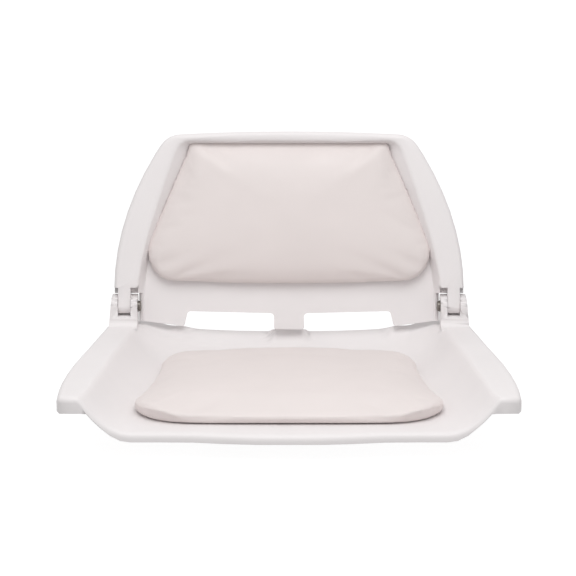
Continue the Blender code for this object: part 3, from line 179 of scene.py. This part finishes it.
class ShellFinish(bpy.types.PropertyGroup):
    colour: bpy.props.FloatVectorProperty(
        name="Shell colour",
        description="Colour of the moulded shells",
        subtype="COLOR",
        size=4,
        min=0.0,
        max=1.0,
        default=(0.82, 0.785, 0.785, 1.0),
    )
    roughness: bpy.props.FloatProperty(
        name="Roughness",
        description="How matt the moulded skin is",
        subtype="FACTOR",
        min=0.0,
        max=1.0,
        default=0.5,
    )
    grain: bpy.props.FloatProperty(
        name="Grain size",
        description="Size of the fine texture left by the mould",
        unit="LENGTH",
        default=0.9 * MM,
    )
    depth: bpy.props.FloatProperty(
        name="Grain depth",
        description="Depth of the fine texture left by the mould",
        unit="LENGTH",
        default=0.012 * MM,
    )
    tab: bpy.props.FloatProperty(
        name="Rest tabs",
        description="How far the pan's rear edge comes forward under the backrest's lobes",
        unit="LENGTH",
        default=9.0 * MM,
    )
    dip: bpy.props.FloatProperty(
        name="Notch dip",
        description="How far the pan's rear edge dips between the lobes",
        unit="LENGTH",
        default=3.0 * MM,
    )


class VinylFinish(bpy.types.PropertyGroup):
    colour: bpy.props.FloatVectorProperty(
        name="Vinyl colour",
        description="Colour of the cushion covers",
        subtype="COLOR",
        size=4,
        min=0.0,
        max=1.0,
        default=(0.765, 0.70, 0.685, 1.0),
    )
    roughness: bpy.props.FloatProperty(
        name="Roughness",
        description="How matt the vinyl is",
        subtype="FACTOR",
        min=0.0,
        max=1.0,
        default=0.5,
    )
    grain: bpy.props.FloatProperty(
        name="Grain size",
        description="Size of the pebbles pressed into the vinyl",
        unit="LENGTH",
        default=1.1 * MM,
    )
    depth: bpy.props.FloatProperty(
        name="Grain depth",
        description="Depth of the pebbles pressed into the vinyl",
        unit="LENGTH",
        default=0.03 * MM,
    )


class CushionShape(bpy.types.PropertyGroup):
    voxel: bpy.props.FloatProperty(
        name="Cloth spacing",
        description="Spacing of the cloth's points while it is inflated",
        unit="LENGTH",
        default=4.0 * MM,
    )
    slack: bpy.props.FloatProperty(
        name="Starting inset",
        description="How far the cover starts inside its final skin",
        unit="LENGTH",
        default=1.2 * MM,
    )
    swell: bpy.props.FloatProperty(
        name="Largest swell",
        description="How far the filling may push the cover out",
        unit="LENGTH",
        default=5.0 * MM,
    )
    pressure: bpy.props.FloatProperty(
        name="Filling pressure",
        description="Pressure of the foam against the cover",
        default=4.0,
    )
    held: bpy.props.FloatProperty(
        name="Held hem",
        description="Height of the hem that the board keeps flat",
        unit="LENGTH",
        default=3.0 * MM,
    )
    pleat: bpy.props.FloatProperty(
        name="Pleat depth",
        description="Depth of the folds that gather the cover round its corners",
        unit="LENGTH",
        default=1.6 * MM,
    )


class StageSettings(bpy.types.PropertyGroup):
    sky: bpy.props.FloatProperty(
        name="Room light",
        description="Strength of the even light from above the horizon",
        default=0.7,
    )
    ground: bpy.props.FloatProperty(
        name="Light from below",
        description="Strength of the even light from below the horizon",
        default=0.47,
    )
    key: bpy.props.FloatProperty(
        name="Softbox power",
        description="Power of the softbox over the seat",
        subtype="POWER",
        default=7.8,
    )
    key_size: bpy.props.FloatProperty(
        name="Softbox size",
        description="Width of the softbox",
        unit="LENGTH",
        default=1.0,
    )
    key_height: bpy.props.FloatProperty(
        name="Softbox height",
        description="Height of the softbox above the floor",
        unit="LENGTH",
        default=1.2,
    )
    key_front: bpy.props.FloatProperty(
        name="Softbox forward",
        description="How far the softbox hangs in front of the seat's middle",
        unit="LENGTH",
        default=0.6,
    )
    glow: bpy.props.FloatProperty(
        name="Floor glow",
        description="How much the pale floor is lit from within, as a light table is",
        default=0.86,
    )
    floor: bpy.props.FloatVectorProperty(
        name="Floor colour",
        description="Colour of the pale floor",
        subtype="COLOR",
        size=4,
        min=0.0,
        max=1.0,
        default=(0.3, 0.3, 0.3, 1.0),
    )


class BoatSeatSettings(bpy.types.PropertyGroup):
    shell: bpy.props.PointerProperty(type=ShellFinish)
    vinyl: bpy.props.PointerProperty(type=VinylFinish)
    cushion: bpy.props.PointerProperty(type=CushionShape)
    stage: bpy.props.PointerProperty(type=StageSettings)


# Materials


def empty_material(name):
    """A new material with one Principled shader, its tree and the shader."""
    material = bpy.data.materials.new(name)
    material.use_nodes = True
    shader = material.node_tree.nodes["Principled BSDF"]
    return material, material.node_tree, shader


def object_coordinates(tree, scale=(1.0, 1.0, 1.0)):
    """Object coordinates, stretched where a grain runs one way."""
    source = tree.nodes.new("ShaderNodeTexCoord")
    mapping = tree.nodes.new("ShaderNodeMapping")
    mapping.inputs["Scale"].default_value = scale
    tree.links.new(source.outputs["Object"], mapping.inputs["Vector"])
    return mapping.outputs["Vector"]


def noise(tree, vector, size, fineness):
    """Noise whose cells are about that size across, in metres, with that many finer layers."""
    node = tree.nodes.new("ShaderNodeTexNoise")
    node.inputs["Scale"].default_value = 1.0 / size
    node.inputs["Detail"].default_value = fineness
    tree.links.new(vector, node.inputs["Vector"])
    return node.outputs["Fac"]


def cells(tree, vector, size):
    """Distance to the middle of pebbles about that size across, in metres."""
    node = tree.nodes.new("ShaderNodeTexVoronoi")
    node.inputs["Scale"].default_value = 1.0 / size
    tree.links.new(vector, node.inputs["Vector"])
    return node.outputs["Distance"]


def spread(tree, value, low, high, start=0.0, end=1.0):
    """Maps a pattern from start..end to low..high."""
    node = tree.nodes.new("ShaderNodeMapRange")
    node.inputs["From Min"].default_value = start
    node.inputs["From Max"].default_value = end
    node.inputs["To Min"].default_value = low
    node.inputs["To Max"].default_value = high
    tree.links.new(value, node.inputs["Value"])
    return node.outputs["Result"]


def two_tones(tree, value, first, second):
    """A colour between two tones, by the pattern's value."""
    ramp = tree.nodes.new("ShaderNodeValToRGB")
    for element, tone, place in zip(ramp.color_ramp.elements, (first, second), NOISE_RANGE):
        element.color = tone
        element.position = place
    tree.links.new(value, ramp.inputs["Fac"])
    return ramp.outputs["Color"]


def relief(tree, shader, height, depth):
    """A bump of that depth, in metres, on the shader's normal."""
    bump = tree.nodes.new("ShaderNodeBump")
    bump.inputs["Distance"].default_value = depth
    bump.inputs["Strength"].default_value = 1.0
    tree.links.new(height, bump.inputs["Height"])
    tree.links.new(bump.outputs["Normal"], shader.inputs["Normal"])


def shade(colour, factor):
    """A colour made darker or lighter by a factor."""
    return tuple(min(1.0, channel * factor) for channel in colour[:3]) + (1.0,)


def mottled_colour(tree, shader, pattern, colour, reach=TONE_RANGE):
    """A base colour that drifts with a pattern, from one factor of it to another."""
    tone = two_tones(tree, pattern, shade(colour, reach[0]), shade(colour, reach[1]))
    tree.links.new(tone, shader.inputs["Base Color"])


def uneven_roughness(tree, shader, pattern, roughness, reach):
    """A roughness that drifts with a pattern, by that much either way."""
    worn = spread(tree, pattern, roughness - reach, roughness + reach, *NOISE_RANGE)
    tree.links.new(worn, shader.inputs["Roughness"])


def moulded_plastic(name, finish):
    """Satin plastic with the mould's fine grain and faint flow marks."""
    material, tree, shader = empty_material(name)
    place = object_coordinates(tree)
    mottled_colour(tree, shader, noise(tree, place, *FLOW), finish.colour)
    uneven_roughness(tree, shader, noise(tree, place, *RUB), finish.roughness, RUB_SPREAD)
    relief(tree, shader, noise(tree, place, finish.grain, MOULD_FINENESS), finish.depth)
    return material


def pebbled_vinyl(name, finish):
    """Soft vinyl with a pressed pebble grain and a slight mottle."""
    material, tree, shader = empty_material(name)
    place = object_coordinates(tree)
    mottled_colour(tree, shader, noise(tree, place, *MOTTLE), finish.colour)
    handled = noise(tree, place, *HANDLED)
    uneven_roughness(tree, shader, handled, finish.roughness, HANDLED_SPREAD)
    relief(tree, shader, cells(tree, place, finish.grain), finish.depth)
    return material


def turned_steel(name, colour, roughness):
    """Stainless steel with fine turning marks across its X axis."""
    material, tree, shader = empty_material(name)
    place = object_coordinates(tree, TURNING_STRETCH)
    marks = noise(tree, place, *TURNING)
    mottled_colour(tree, shader, marks, colour, STEEL_TONE_RANGE)
    uneven_roughness(tree, shader, marks, roughness, TURNING_SPREAD)
    shader.inputs["Metallic"].default_value = 1.0
    relief(tree, shader, marks, TURNING_DEPTH)
    return material


def milky_nylon(name):
    """Natural nylon, slightly cloudy."""
    material, tree, shader = empty_material(name)
    place = object_coordinates(tree)
    cloud = noise(tree, place, *CLOUD)
    tree.links.new(two_tones(tree, cloud, *NYLON_TONES), shader.inputs["Base Color"])
    tree.links.new(spread(tree, cloud, *NYLON_ROUGHNESS), shader.inputs["Roughness"])
    return material


def open_foam(name):
    """Cut polyurethane foam with open cells."""
    material, tree, shader = empty_material(name)
    place = object_coordinates(tree)
    pores = cells(tree, place, PORE_SIZE)
    tree.links.new(two_tones(tree, pores, *FOAM_TONES), shader.inputs["Base Color"])
    shader.inputs["Roughness"].default_value = FOAM_ROUGHNESS
    relief(tree, shader, pores, PORE_DEPTH)
    return material


def birch_ply(name):
    """Plywood with its grain along X."""
    material, tree, shader = empty_material(name)
    place = object_coordinates(tree, PLY_GRAIN_STRETCH)
    grain = noise(tree, place, *PLY_GRAIN)
    tree.links.new(two_tones(tree, grain, *PLY_TONES), shader.inputs["Base Color"])
    shader.inputs["Roughness"].default_value = PLY_ROUGHNESS
    relief(tree, shader, grain, PLY_GRAIN_DEPTH)
    return material


def dress(obj, material):
    """Gives a piece that material alone."""
    obj.data.materials.clear()
    obj.data.materials.append(material)


# Modelling


def select_only(obj):
    """Selects one object and makes it the active one."""
    bpy.ops.object.select_all(action="DESELECT")
    obj.select_set(True)
    bpy.context.view_layer.objects.active = obj


def merged_copy(node, name):
    """A copy of a CAD node's mesh with its loose triangles joined up."""
    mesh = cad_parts[node].data.copy()
    mesh.name = name
    copy = bpy.data.objects.new(name, mesh)
    bpy.context.collection.objects.link(copy)
    select_only(copy)
    bpy.ops.object.mode_set(mode="EDIT")
    bpy.ops.mesh.select_all(action="SELECT")
    bpy.ops.mesh.remove_doubles(threshold=JOIN_DISTANCE)
    bpy.ops.object.mode_set(mode="OBJECT")
    return copy


def apply_all(obj):
    """Applies every modifier of a piece, in order."""
    select_only(obj)
    for modifier in list(obj.modifiers):
        bpy.ops.object.modifier_apply(modifier=modifier.name)


def smooth_by_angle(obj, angle):
    """Smooth shading across edges flatter than that angle, led by the largest faces."""
    select_only(obj)
    bpy.ops.object.shade_smooth_by_angle(angle=angle)
    even = obj.modifiers.new("Flat faces lead", "WEIGHTED_NORMAL")
    even.mode = "FACE_AREA_WITH_ANGLE"
    even.keep_sharp = True
    apply_all(obj)


def select_faces(obj, wanted):
    """Selects the faces that a test picks, and nothing else, in object mode."""
    for vertex in obj.data.vertices:
        vertex.select = False
    for edge in obj.data.edges:
        edge.select = False
    for face in obj.data.polygons:
        face.select = wanted(face)


def rear_edge(shell, finish):
    """Brings the pan's rear edge forward under the three lobes and dips it in the notches."""

    def climbs(point, half_width):
        return point.y > REAR_FOOT_Y and point.z > REAR_LOW_Z and abs(point.x) < half_width

    select_faces(shell, lambda face: climbs(face.center, REAR_CUT_X))
    select_only(shell)
    bpy.ops.object.mode_set(mode="EDIT")
    bpy.ops.mesh.select_mode(type="FACE")
    bpy.ops.mesh.subdivide(number_cuts=REAR_CUTS)
    bpy.ops.mesh.select_all(action="SELECT")
    bpy.ops.mesh.quads_convert_to_tris()
    bpy.ops.object.mode_set(mode="OBJECT")
    for vertex in shell.data.vertices:
        if climbs(vertex.co, REAR_END_X):
            side = abs(vertex.co.x)
            climb = min(1.0, (vertex.co.y - REAR_FOOT_Y) / (REAR_TOP_Y - REAR_FOOT_Y))
            centre = bump_share(max(0.0, side - CENTRE_LOBE_X), LOBE_BLEND)
            outer = bump_share(max(0.0, OUTER_LOBE_X - side), LOBE_BLEND)
            fade = bump_share(max(0.0, side - FADE_X), FADE_LENGTH)
            under = max(centre, outer * fade)
            vertex.co.y -= under * climb * finish.tab
            vertex.co.z += (TAB_RISE * under - finish.dip * (1.0 - under)) * climb * fade
    shell.data.update()


def outer_skin(node, name):
    """The outside of a cover, closed by one flat face where it lies on its shell."""
    skin = merged_copy(node, name)
    corners = [vertex.co for vertex in skin.data.vertices]
    middle = sum(corners, Vector()) / len(corners)
    select_faces(skin, lambda face: (face.center - middle).dot(face.normal) < 0.0)
    select_only(skin)
    bpy.ops.object.mode_set(mode="EDIT")
    bpy.ops.mesh.select_mode(type="FACE")
    bpy.ops.mesh.delete(type="FACE")
    bpy.ops.mesh.select_all(action="DESELECT")
    bpy.ops.mesh.select_mode(type="EDGE")
    bpy.ops.mesh.select_non_manifold()
    bpy.ops.mesh.edge_face_add()
    bpy.ops.mesh.select_all(action="SELECT")
    bpy.ops.mesh.normals_make_consistent(inside=False)
    bpy.ops.object.mode_set(mode="OBJECT")
    return skin


def mesh_box(obj):
    """Lowest and highest corner of a mesh, in its own coordinates."""
    points = [vertex.co for vertex in obj.data.vertices]
    low = Vector([min(point[axis] for point in points) for axis in range(3)])
    high = Vector([max(point[axis] for point in points) for axis in range(3)])
    return low, high


def pad_place(skin, turn):
    """Where a pad lies: its turn, and an origin at the middle of its flat back."""
    skin.data.transform(turn.inverted())
    low, high = mesh_box(skin)
    origin = Vector(((low.x + high.x) / 2, (low.y + high.y) / 2, low.z))
    skin.data.transform(Matrix.Translation(-origin))
    return turn @ Matrix.Translation(origin)


def remesh(obj, voxel):
    """An even net of small faces over a closed shape."""
    modifier = obj.modifiers.new("Even net", "REMESH")
    modifier.mode = "VOXEL"
    modifier.voxel_size = voxel
    apply_all(obj)


def shrink(obj, distance):
    """Moves every point inwards along its normal."""
    select_only(obj)
    bpy.ops.object.mode_set(mode="EDIT")
    bpy.ops.mesh.select_all(action="SELECT")
    bpy.ops.transform.shrink_fatten(value=-distance)
    bpy.ops.object.mode_set(mode="OBJECT")


def inflate(obj, shape):
    """Blows the cover up against its foam with a cloth simulation, its hem held on the board."""
    base = mesh_box(obj)[0].z
    hem = obj.vertex_groups.new(name="hem")
    held = [v.index for v in obj.data.vertices if v.co.z < base + shape.held]
    hem.add(held, 1.0, "REPLACE")
    before = [vertex.co.copy() for vertex in obj.data.vertices]
    select_only(obj)
    cloth = obj.modifiers.new("Filling", "CLOTH")
    cloth.settings.use_pressure = True
    cloth.settings.uniform_pressure_force = shape.pressure
    cloth.settings.effector_weights.gravity = 0.0
    cloth.settings.vertex_group_mass = hem.name
    cloth.settings.quality = CLOTH_QUALITY
    cloth.settings.tension_stiffness = CLOTH_STIFFNESS
    cloth.settings.compression_stiffness = CLOTH_STIFFNESS
    cloth.settings.bending_stiffness = CLOTH_BENDING
    for step in range(1, CLOTH_FRAMES + 1):
        bpy.context.scene.frame_set(step)
    apply_all(obj)
    bpy.context.scene.frame_set(1)
    for vertex, start in zip(obj.data.vertices, before):
        move = vertex.co - start
        vertex.co = start + move * (shape.swell / (shape.swell + move.length))


def fit(obj, low, high):
    """Stretches a pad to the box of its CAD cover, from its flat back upwards."""
    now_low, now_high = mesh_box(obj)
    for vertex in obj.data.vertices:
        for axis in range(3):
            share = (vertex.co[axis] - now_low[axis]) / (now_high[axis] - now_low[axis])
            vertex.co[axis] = low[axis] + share * (high[axis] - low[axis])


def bump_share(distance, reach):
    """1 at no distance, falling smoothly to nothing at the reach."""
    share = max(0.0, 1.0 - distance / reach)
    return share * share * (3.0 - 2.0 * share)


def pleat(obj, start, end, width, depth):
    """Presses a fold into a cover along a line, deepest at its start."""
    line = end - start
    for vertex in obj.data.vertices:
        along = min(1.0, max(0.0, (vertex.co - start).dot(line) / line.length_squared))
        distance = (vertex.co - start - line * along).length
        if distance < width:
            fade = bump_share(along, PLEAT_FADE)
            vertex.co -= vertex.normal * depth * fade * bump_share(distance, width)
    obj.data.update()


def rim_shares(obj):
    """0 for each point on a pad's flat underside, up to 1 round its edge."""
    return [min(1.0, RIM_STEEPNESS * (1.0 + vertex.normal.z)) for vertex in obj.data.vertices]


def raise_edge(obj, corner, reach, lift):
    """Lifts the underside of a pad towards a corner, where the cover is drawn up."""
    top = mesh_box(obj)[1].z
    for vertex, rim in zip(obj.data.vertices, rim_shares(obj)):
        flat = Vector((vertex.co.x - corner.x, vertex.co.y - corner.y))
        share = bump_share(flat.length, reach) * rim
        vertex.co.z += lift * share * max(0.0, 1.0 - vertex.co.z / top)
    obj.data.update()


def press_out(obj, up, sideways):
    """Swells a pad's edges against the tray: its high edge by one distance, its sides by another."""
    top = mesh_box(obj)[1].z
    moves = []
    for vertex in obj.data.vertices:
        swell = math.sin(math.pi * min(1.0, max(0.0, vertex.co.z / top)))
        normal = vertex.normal
        reach = up * max(0.0, normal.y) + sideways * abs(normal.x)
        moves.append(Vector((normal.x, normal.y, 0.0)) * reach * swell)
    for vertex, move in zip(obj.data.vertices, moves):
        vertex.co += move
    obj.data.update()


def subdivide(obj):
    """A finer, rounder net, applied."""
    modifier = obj.modifiers.new("Finer", "SUBSURF")
    modifier.levels = 1
    modifier.render_levels = 1
    apply_all(obj)


def padded_cover(node, name, turn, shape, tailor):
    """A vinyl cover over foam: the CAD cover's skin, drawn in a little, blown up and tailored."""
    cover = outer_skin(node, name)
    place = pad_place(cover, turn)
    low, high = mesh_box(cover)
    remesh(cover, shape.voxel)
    shrink(cover, shape.slack)
    inflate(cover, shape)
    fit(cover, low, high)
    subdivide(cover)
    tailor(cover, low, high, shape)
    cover.data.transform(place)
    select_only(cover)
    bpy.ops.object.shade_smooth()
    return cover


def corner_pleats(cover, middle, side, radius, foot, width, depth, pleats):
    """Folds round a corner: each at its turn from the front, with its own height."""
    for turn, rise in pleats:
        angle = math.radians(turn)
        outward = Vector((side * math.sin(angle), -math.cos(angle), 0.0))
        start = middle + outward * radius + Vector((0.0, 0.0, foot))
        end = start + Vector((0.0, 0.0, rise)) - outward * PLEAT_LEAN
        pleat(cover, start, end, width, depth)


def crown_seat(cover, low, high):
    """Rolls the seat cover's top down towards its edges and draws its front hem up."""
    for vertex, rim in zip(cover.data.vertices, rim_shares(cover)):
        gaps = {
            "front": vertex.co.y - low.y,
            "rear": high.y - vertex.co.y,
            "side": high.x - abs(vertex.co.x),
        }
        drops = {}
        for edge, (reach, drop) in SEAT_ROLLS.items():
            drops[edge] = bump_share(gaps[edge], reach) * drop
        front = drops["front"] / SEAT_ROLLS["front"][1]
        vertex.co.z *= 1.0 - drops["front"] - drops["rear"] - drops["side"] * (1.0 - front)
        lift = bump_share(gaps["front"], SEAT_HEM_REACH) * rim
        vertex.co.z += SEAT_HEM_LIFT * lift * max(0.0, 1.0 - vertex.co.z / high.z)
    cover.data.update()


def tailor_seat(cover, low, high, shape):
    """The seat cover's crown, its drawn-up front corners, its side tucks and its corner pleats."""
    crown_seat(cover, low, high)
    for side in (-1.0, 1.0):
        front = Vector((side * high.x, low.y, 0.0))
        for reach, lift in SEAT_CORNER_LIFTS:
            raise_edge(cover, front, reach, lift)
        middle = front + Vector((-side * SEAT_CORNER_INSET, SEAT_CORNER_INSET, 0.0))
        corner_pleats(
            cover, middle, side, SEAT_PLEAT_RADIUS, SEAT_PLEAT_FOOT, SEAT_PLEAT_WIDTH, shape.pleat,
            SEAT_PLEATS,
        )
        start, end = (Vector((side * x, y, z)) for x, y, z in (TUCK_START, TUCK_END))
        pleat(cover, start, end, TUCK_WIDTH, TUCK_FACTOR * shape.pleat)


def tailor_back(cover, low, high, shape):
    """The back cover pressed against its tray, with small corner pleats."""
    press_out(cover, BACK_PRESS_UP, BACK_PRESS_SIDEWAYS)
    inset_x, inset_y = BACK_CORNER_INSET
    for side in (-1.0, 1.0):
        middle = Vector((side * (high.x - inset_x), low.y + inset_y, 0.0))
        corner_pleats(
            cover, middle, side, BACK_PLEAT_RADIUS, BACK_PLEAT_FOOT, BACK_PLEAT_WIDTH,
            shape.pleat / 2, BACK_PLEATS,
        )


# Operators


class BOATSEAT_OT_shells(bpy.types.Operator):
    """Makes the two moulded shells with smooth shading and their satin plastic"""

    bl_idname = "boatseat.shells"
    bl_label = "Moulded shells"

    def execute(self, context):
        finish = context.scene.boat_seat.shell
        plastic = moulded_plastic("white moulded plastic", finish)
        for node, body in SHELLS.items():
            dress(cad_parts[node], plastic)
            shell = merged_copy(node, node + "_moulding")
            if body == "seat":
                rear_edge(shell, finish)
            smooth_by_angle(shell, SMOOTH_ANGLE)
            dress(shell, plastic)
            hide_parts(node)
            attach(shell, body)
        return {"FINISHED"}


class BOATSEAT_OT_seat_cushion(bpy.types.Operator):
    """Makes the seat cushion's cover as cloth blown up over its foam"""

    bl_idname = "boatseat.seat_cushion"
    bl_label = "Seat cushion"

    def execute(self, context):
        settings = context.scene.boat_seat
        cover = padded_cover(
            "seat_cushion_cover", "seat_cushion_vinyl", SEAT_TURN, settings.cushion, tailor_seat
        )
        dress(cover, pebbled_vinyl("cream vinyl, seat", settings.vinyl))
        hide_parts("seat_cushion_cover", "seat_cushion_foam")
        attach(cover, "seat")
        return {"FINISHED"}


class BOATSEAT_OT_back_cushion(bpy.types.Operator):
    """Makes the back cushion's cover as cloth blown up over its foam"""

    bl_idname = "boatseat.back_cushion"
    bl_label = "Back cushion"

    def execute(self, context):
        settings = context.scene.boat_seat
        cover = padded_cover(
            "back_cushion_cover", "back_cushion_vinyl", BACK_TURN, settings.cushion, tailor_back
        )
        dress(cover, pebbled_vinyl("cream vinyl, back", settings.vinyl))
        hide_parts("back_cushion_cover", "back_cushion_foam")
        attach(cover, "backrest")
        return {"FINISHED"}


class BOATSEAT_OT_fillings(bpy.types.Operator):
    """Finishes the foam and the plywood boards inside the cushions"""

    bl_idname = "boatseat.fillings"
    bl_label = "Foam and boards"

    def execute(self, context):
        foam = open_foam("cushion foam")
        ply = birch_ply("birch plywood")
        for pad in ("seat_cushion", "back_cushion"):
            dress(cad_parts[pad + "_foam"], foam)
            dress(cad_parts[pad + "_board"], ply)
        return {"FINISHED"}


class BOATSEAT_OT_hardware(bpy.types.Operator):
    """Finishes the hinge hardware, the screws, the washers and the mounting nuts"""

    bl_idname = "boatseat.hardware"
    bl_label = "Hinges and fasteners"

    def execute(self, context):
        # The stainless steel's dark colour is partly painted shade for the bolt heads in their
        # recesses
        steel = turned_steel("stainless steel, darkened as painted shade", STEEL_WITH_PAINTED_SHADE, STEEL_ROUGHNESS)
        zinc = turned_steel("zinc plated steel", ZINC, ZINC_ROUGHNESS)
        nylon = milky_nylon("natural nylon")
        for side in SIDES:
            for part in HINGE_STEEL:
                dress(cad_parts[f"{part}_{side}"], steel)
            dress(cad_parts[f"hinge_bush_{side}"], nylon)
        for number in COPIES:
            for pad in ("seat_cushion", "back_cushion"):
                dress(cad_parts[f"{pad}_screw_{number}"], steel)
                dress(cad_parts[f"{pad}_washer_{number}"], steel)
            dress(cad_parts[f"mount_tee_nut_{number}"], zinc)
        return {"FINISHED"}


class BOATSEAT_OT_stage(bpy.types.Operator):
    """Lays the pale floor, hangs the soft lights and sets the camera"""

    bl_idname = "boatseat.stage"
    bl_label = "Stage, lights and camera"

    def execute(self, context):
        settings = context.scene.boat_seat.stage
        bpy.ops.object.select_all(action="DESELECT")
        bpy.ops.mesh.primitive_plane_add(
            size=FLOOR_SIZE, location=(0.0, 0.0, CAD_LOW.z - FLOOR_GAP)
        )
        floor = context.object
        floor.name = "pale_floor"
        floor.visible_diffuse = False
        material, tree, shader = empty_material("pale floor")
        shader.inputs["Base Color"].default_value = settings.floor
        shader.inputs["Roughness"].default_value = FLOOR_ROUGHNESS
        shader.inputs["Specular IOR Level"].default_value = FLOOR_SPECULAR
        shader.inputs["Emission Color"].default_value = WHITE
        shader.inputs["Emission Strength"].default_value = settings.glow
        dress(floor, material)
        world = bpy.data.worlds.new("even room")
        world.use_nodes = True
        room = world.node_tree
        background = room.nodes["Background"]
        direction = room.nodes.new("ShaderNodeTexCoord")
        parts = room.nodes.new("ShaderNodeSeparateXYZ")
        room.links.new(direction.outputs["Generated"], parts.inputs["Vector"])
        strength = spread(
            room, parts.outputs["Z"], settings.ground, settings.sky, -HORIZON, HORIZON
        )
        room.links.new(strength, background.inputs["Strength"])
        background.inputs["Color"].default_value = WHITE
        context.scene.world = world
        bpy.ops.object.light_add(
            type="AREA",
            location=(0.0, -settings.key_front, settings.key_height),
            rotation=(math.atan2(settings.key_front, settings.key_height), 0.0, 0.0),
        )
        key = context.object
        key.name = "softbox"
        key.data.shape = "DISK"
        key.data.size = settings.key_size
        key.data.energy = settings.key
        key.visible_camera = False
        bpy.ops.object.camera_add(location=CAMERA_PLACE, rotation=(CAMERA_TILT, 0.0, 0.0))
        camera = context.object
        camera.data.sensor_width = SENSOR_WIDTH
        camera.data.lens = PHOTO_FOCUS / PHOTO_WIDTH * SENSOR_WIDTH
        camera.data.shift_x = PHOTO_SHIFT / PHOTO_WIDTH
        context.scene.camera = camera
        context.scene.view_settings.view_transform = "Standard"
        return {"FINISHED"}


# Panel


class BOATSEAT_PT_panel(bpy.types.Panel):
    """Lists the seat's settings and the steps that build it"""

    bl_idname = "BOATSEAT_PT_panel"
    bl_label = "Folding boat seat"
    bl_space_type = "VIEW_3D"
    bl_region_type = "UI"
    bl_category = "Boat seat"

    def draw(self, context):
        settings = context.scene.boat_seat
        for group in (settings.shell, settings.vinyl, settings.cushion, settings.stage):
            box = self.layout.box()
            for key in type(group).__annotations__:
                box.prop(group, key)
        for step in STEPS:
            self.layout.operator(step.bl_idname)


STEPS = (
    BOATSEAT_OT_shells,
    BOATSEAT_OT_seat_cushion,
    BOATSEAT_OT_back_cushion,
    BOATSEAT_OT_fillings,
    BOATSEAT_OT_hardware,
    BOATSEAT_OT_stage,
)
CLASSES = (ShellFinish, VinylFinish, CushionShape, StageSettings, BoatSeatSettings) + STEPS + (
    BOATSEAT_PT_panel,
)


def register():
    for item in CLASSES:
        bpy.utils.register_class(item)
    bpy.types.Scene.boat_seat = bpy.props.PointerProperty(type=BoatSeatSettings)


def unregister():
    del bpy.types.Scene.boat_seat
    for item in reversed(CLASSES):
        bpy.utils.unregister_class(item)


def main():
    """Builds the whole scene."""
    register()
    bpy.ops.boatseat.shells()
    bpy.ops.boatseat.seat_cushion()
    bpy.ops.boatseat.back_cushion()
    bpy.ops.boatseat.fillings()
    bpy.ops.boatseat.hardware()
    bpy.ops.boatseat.stage()


if __name__ == "__main__":
    main()
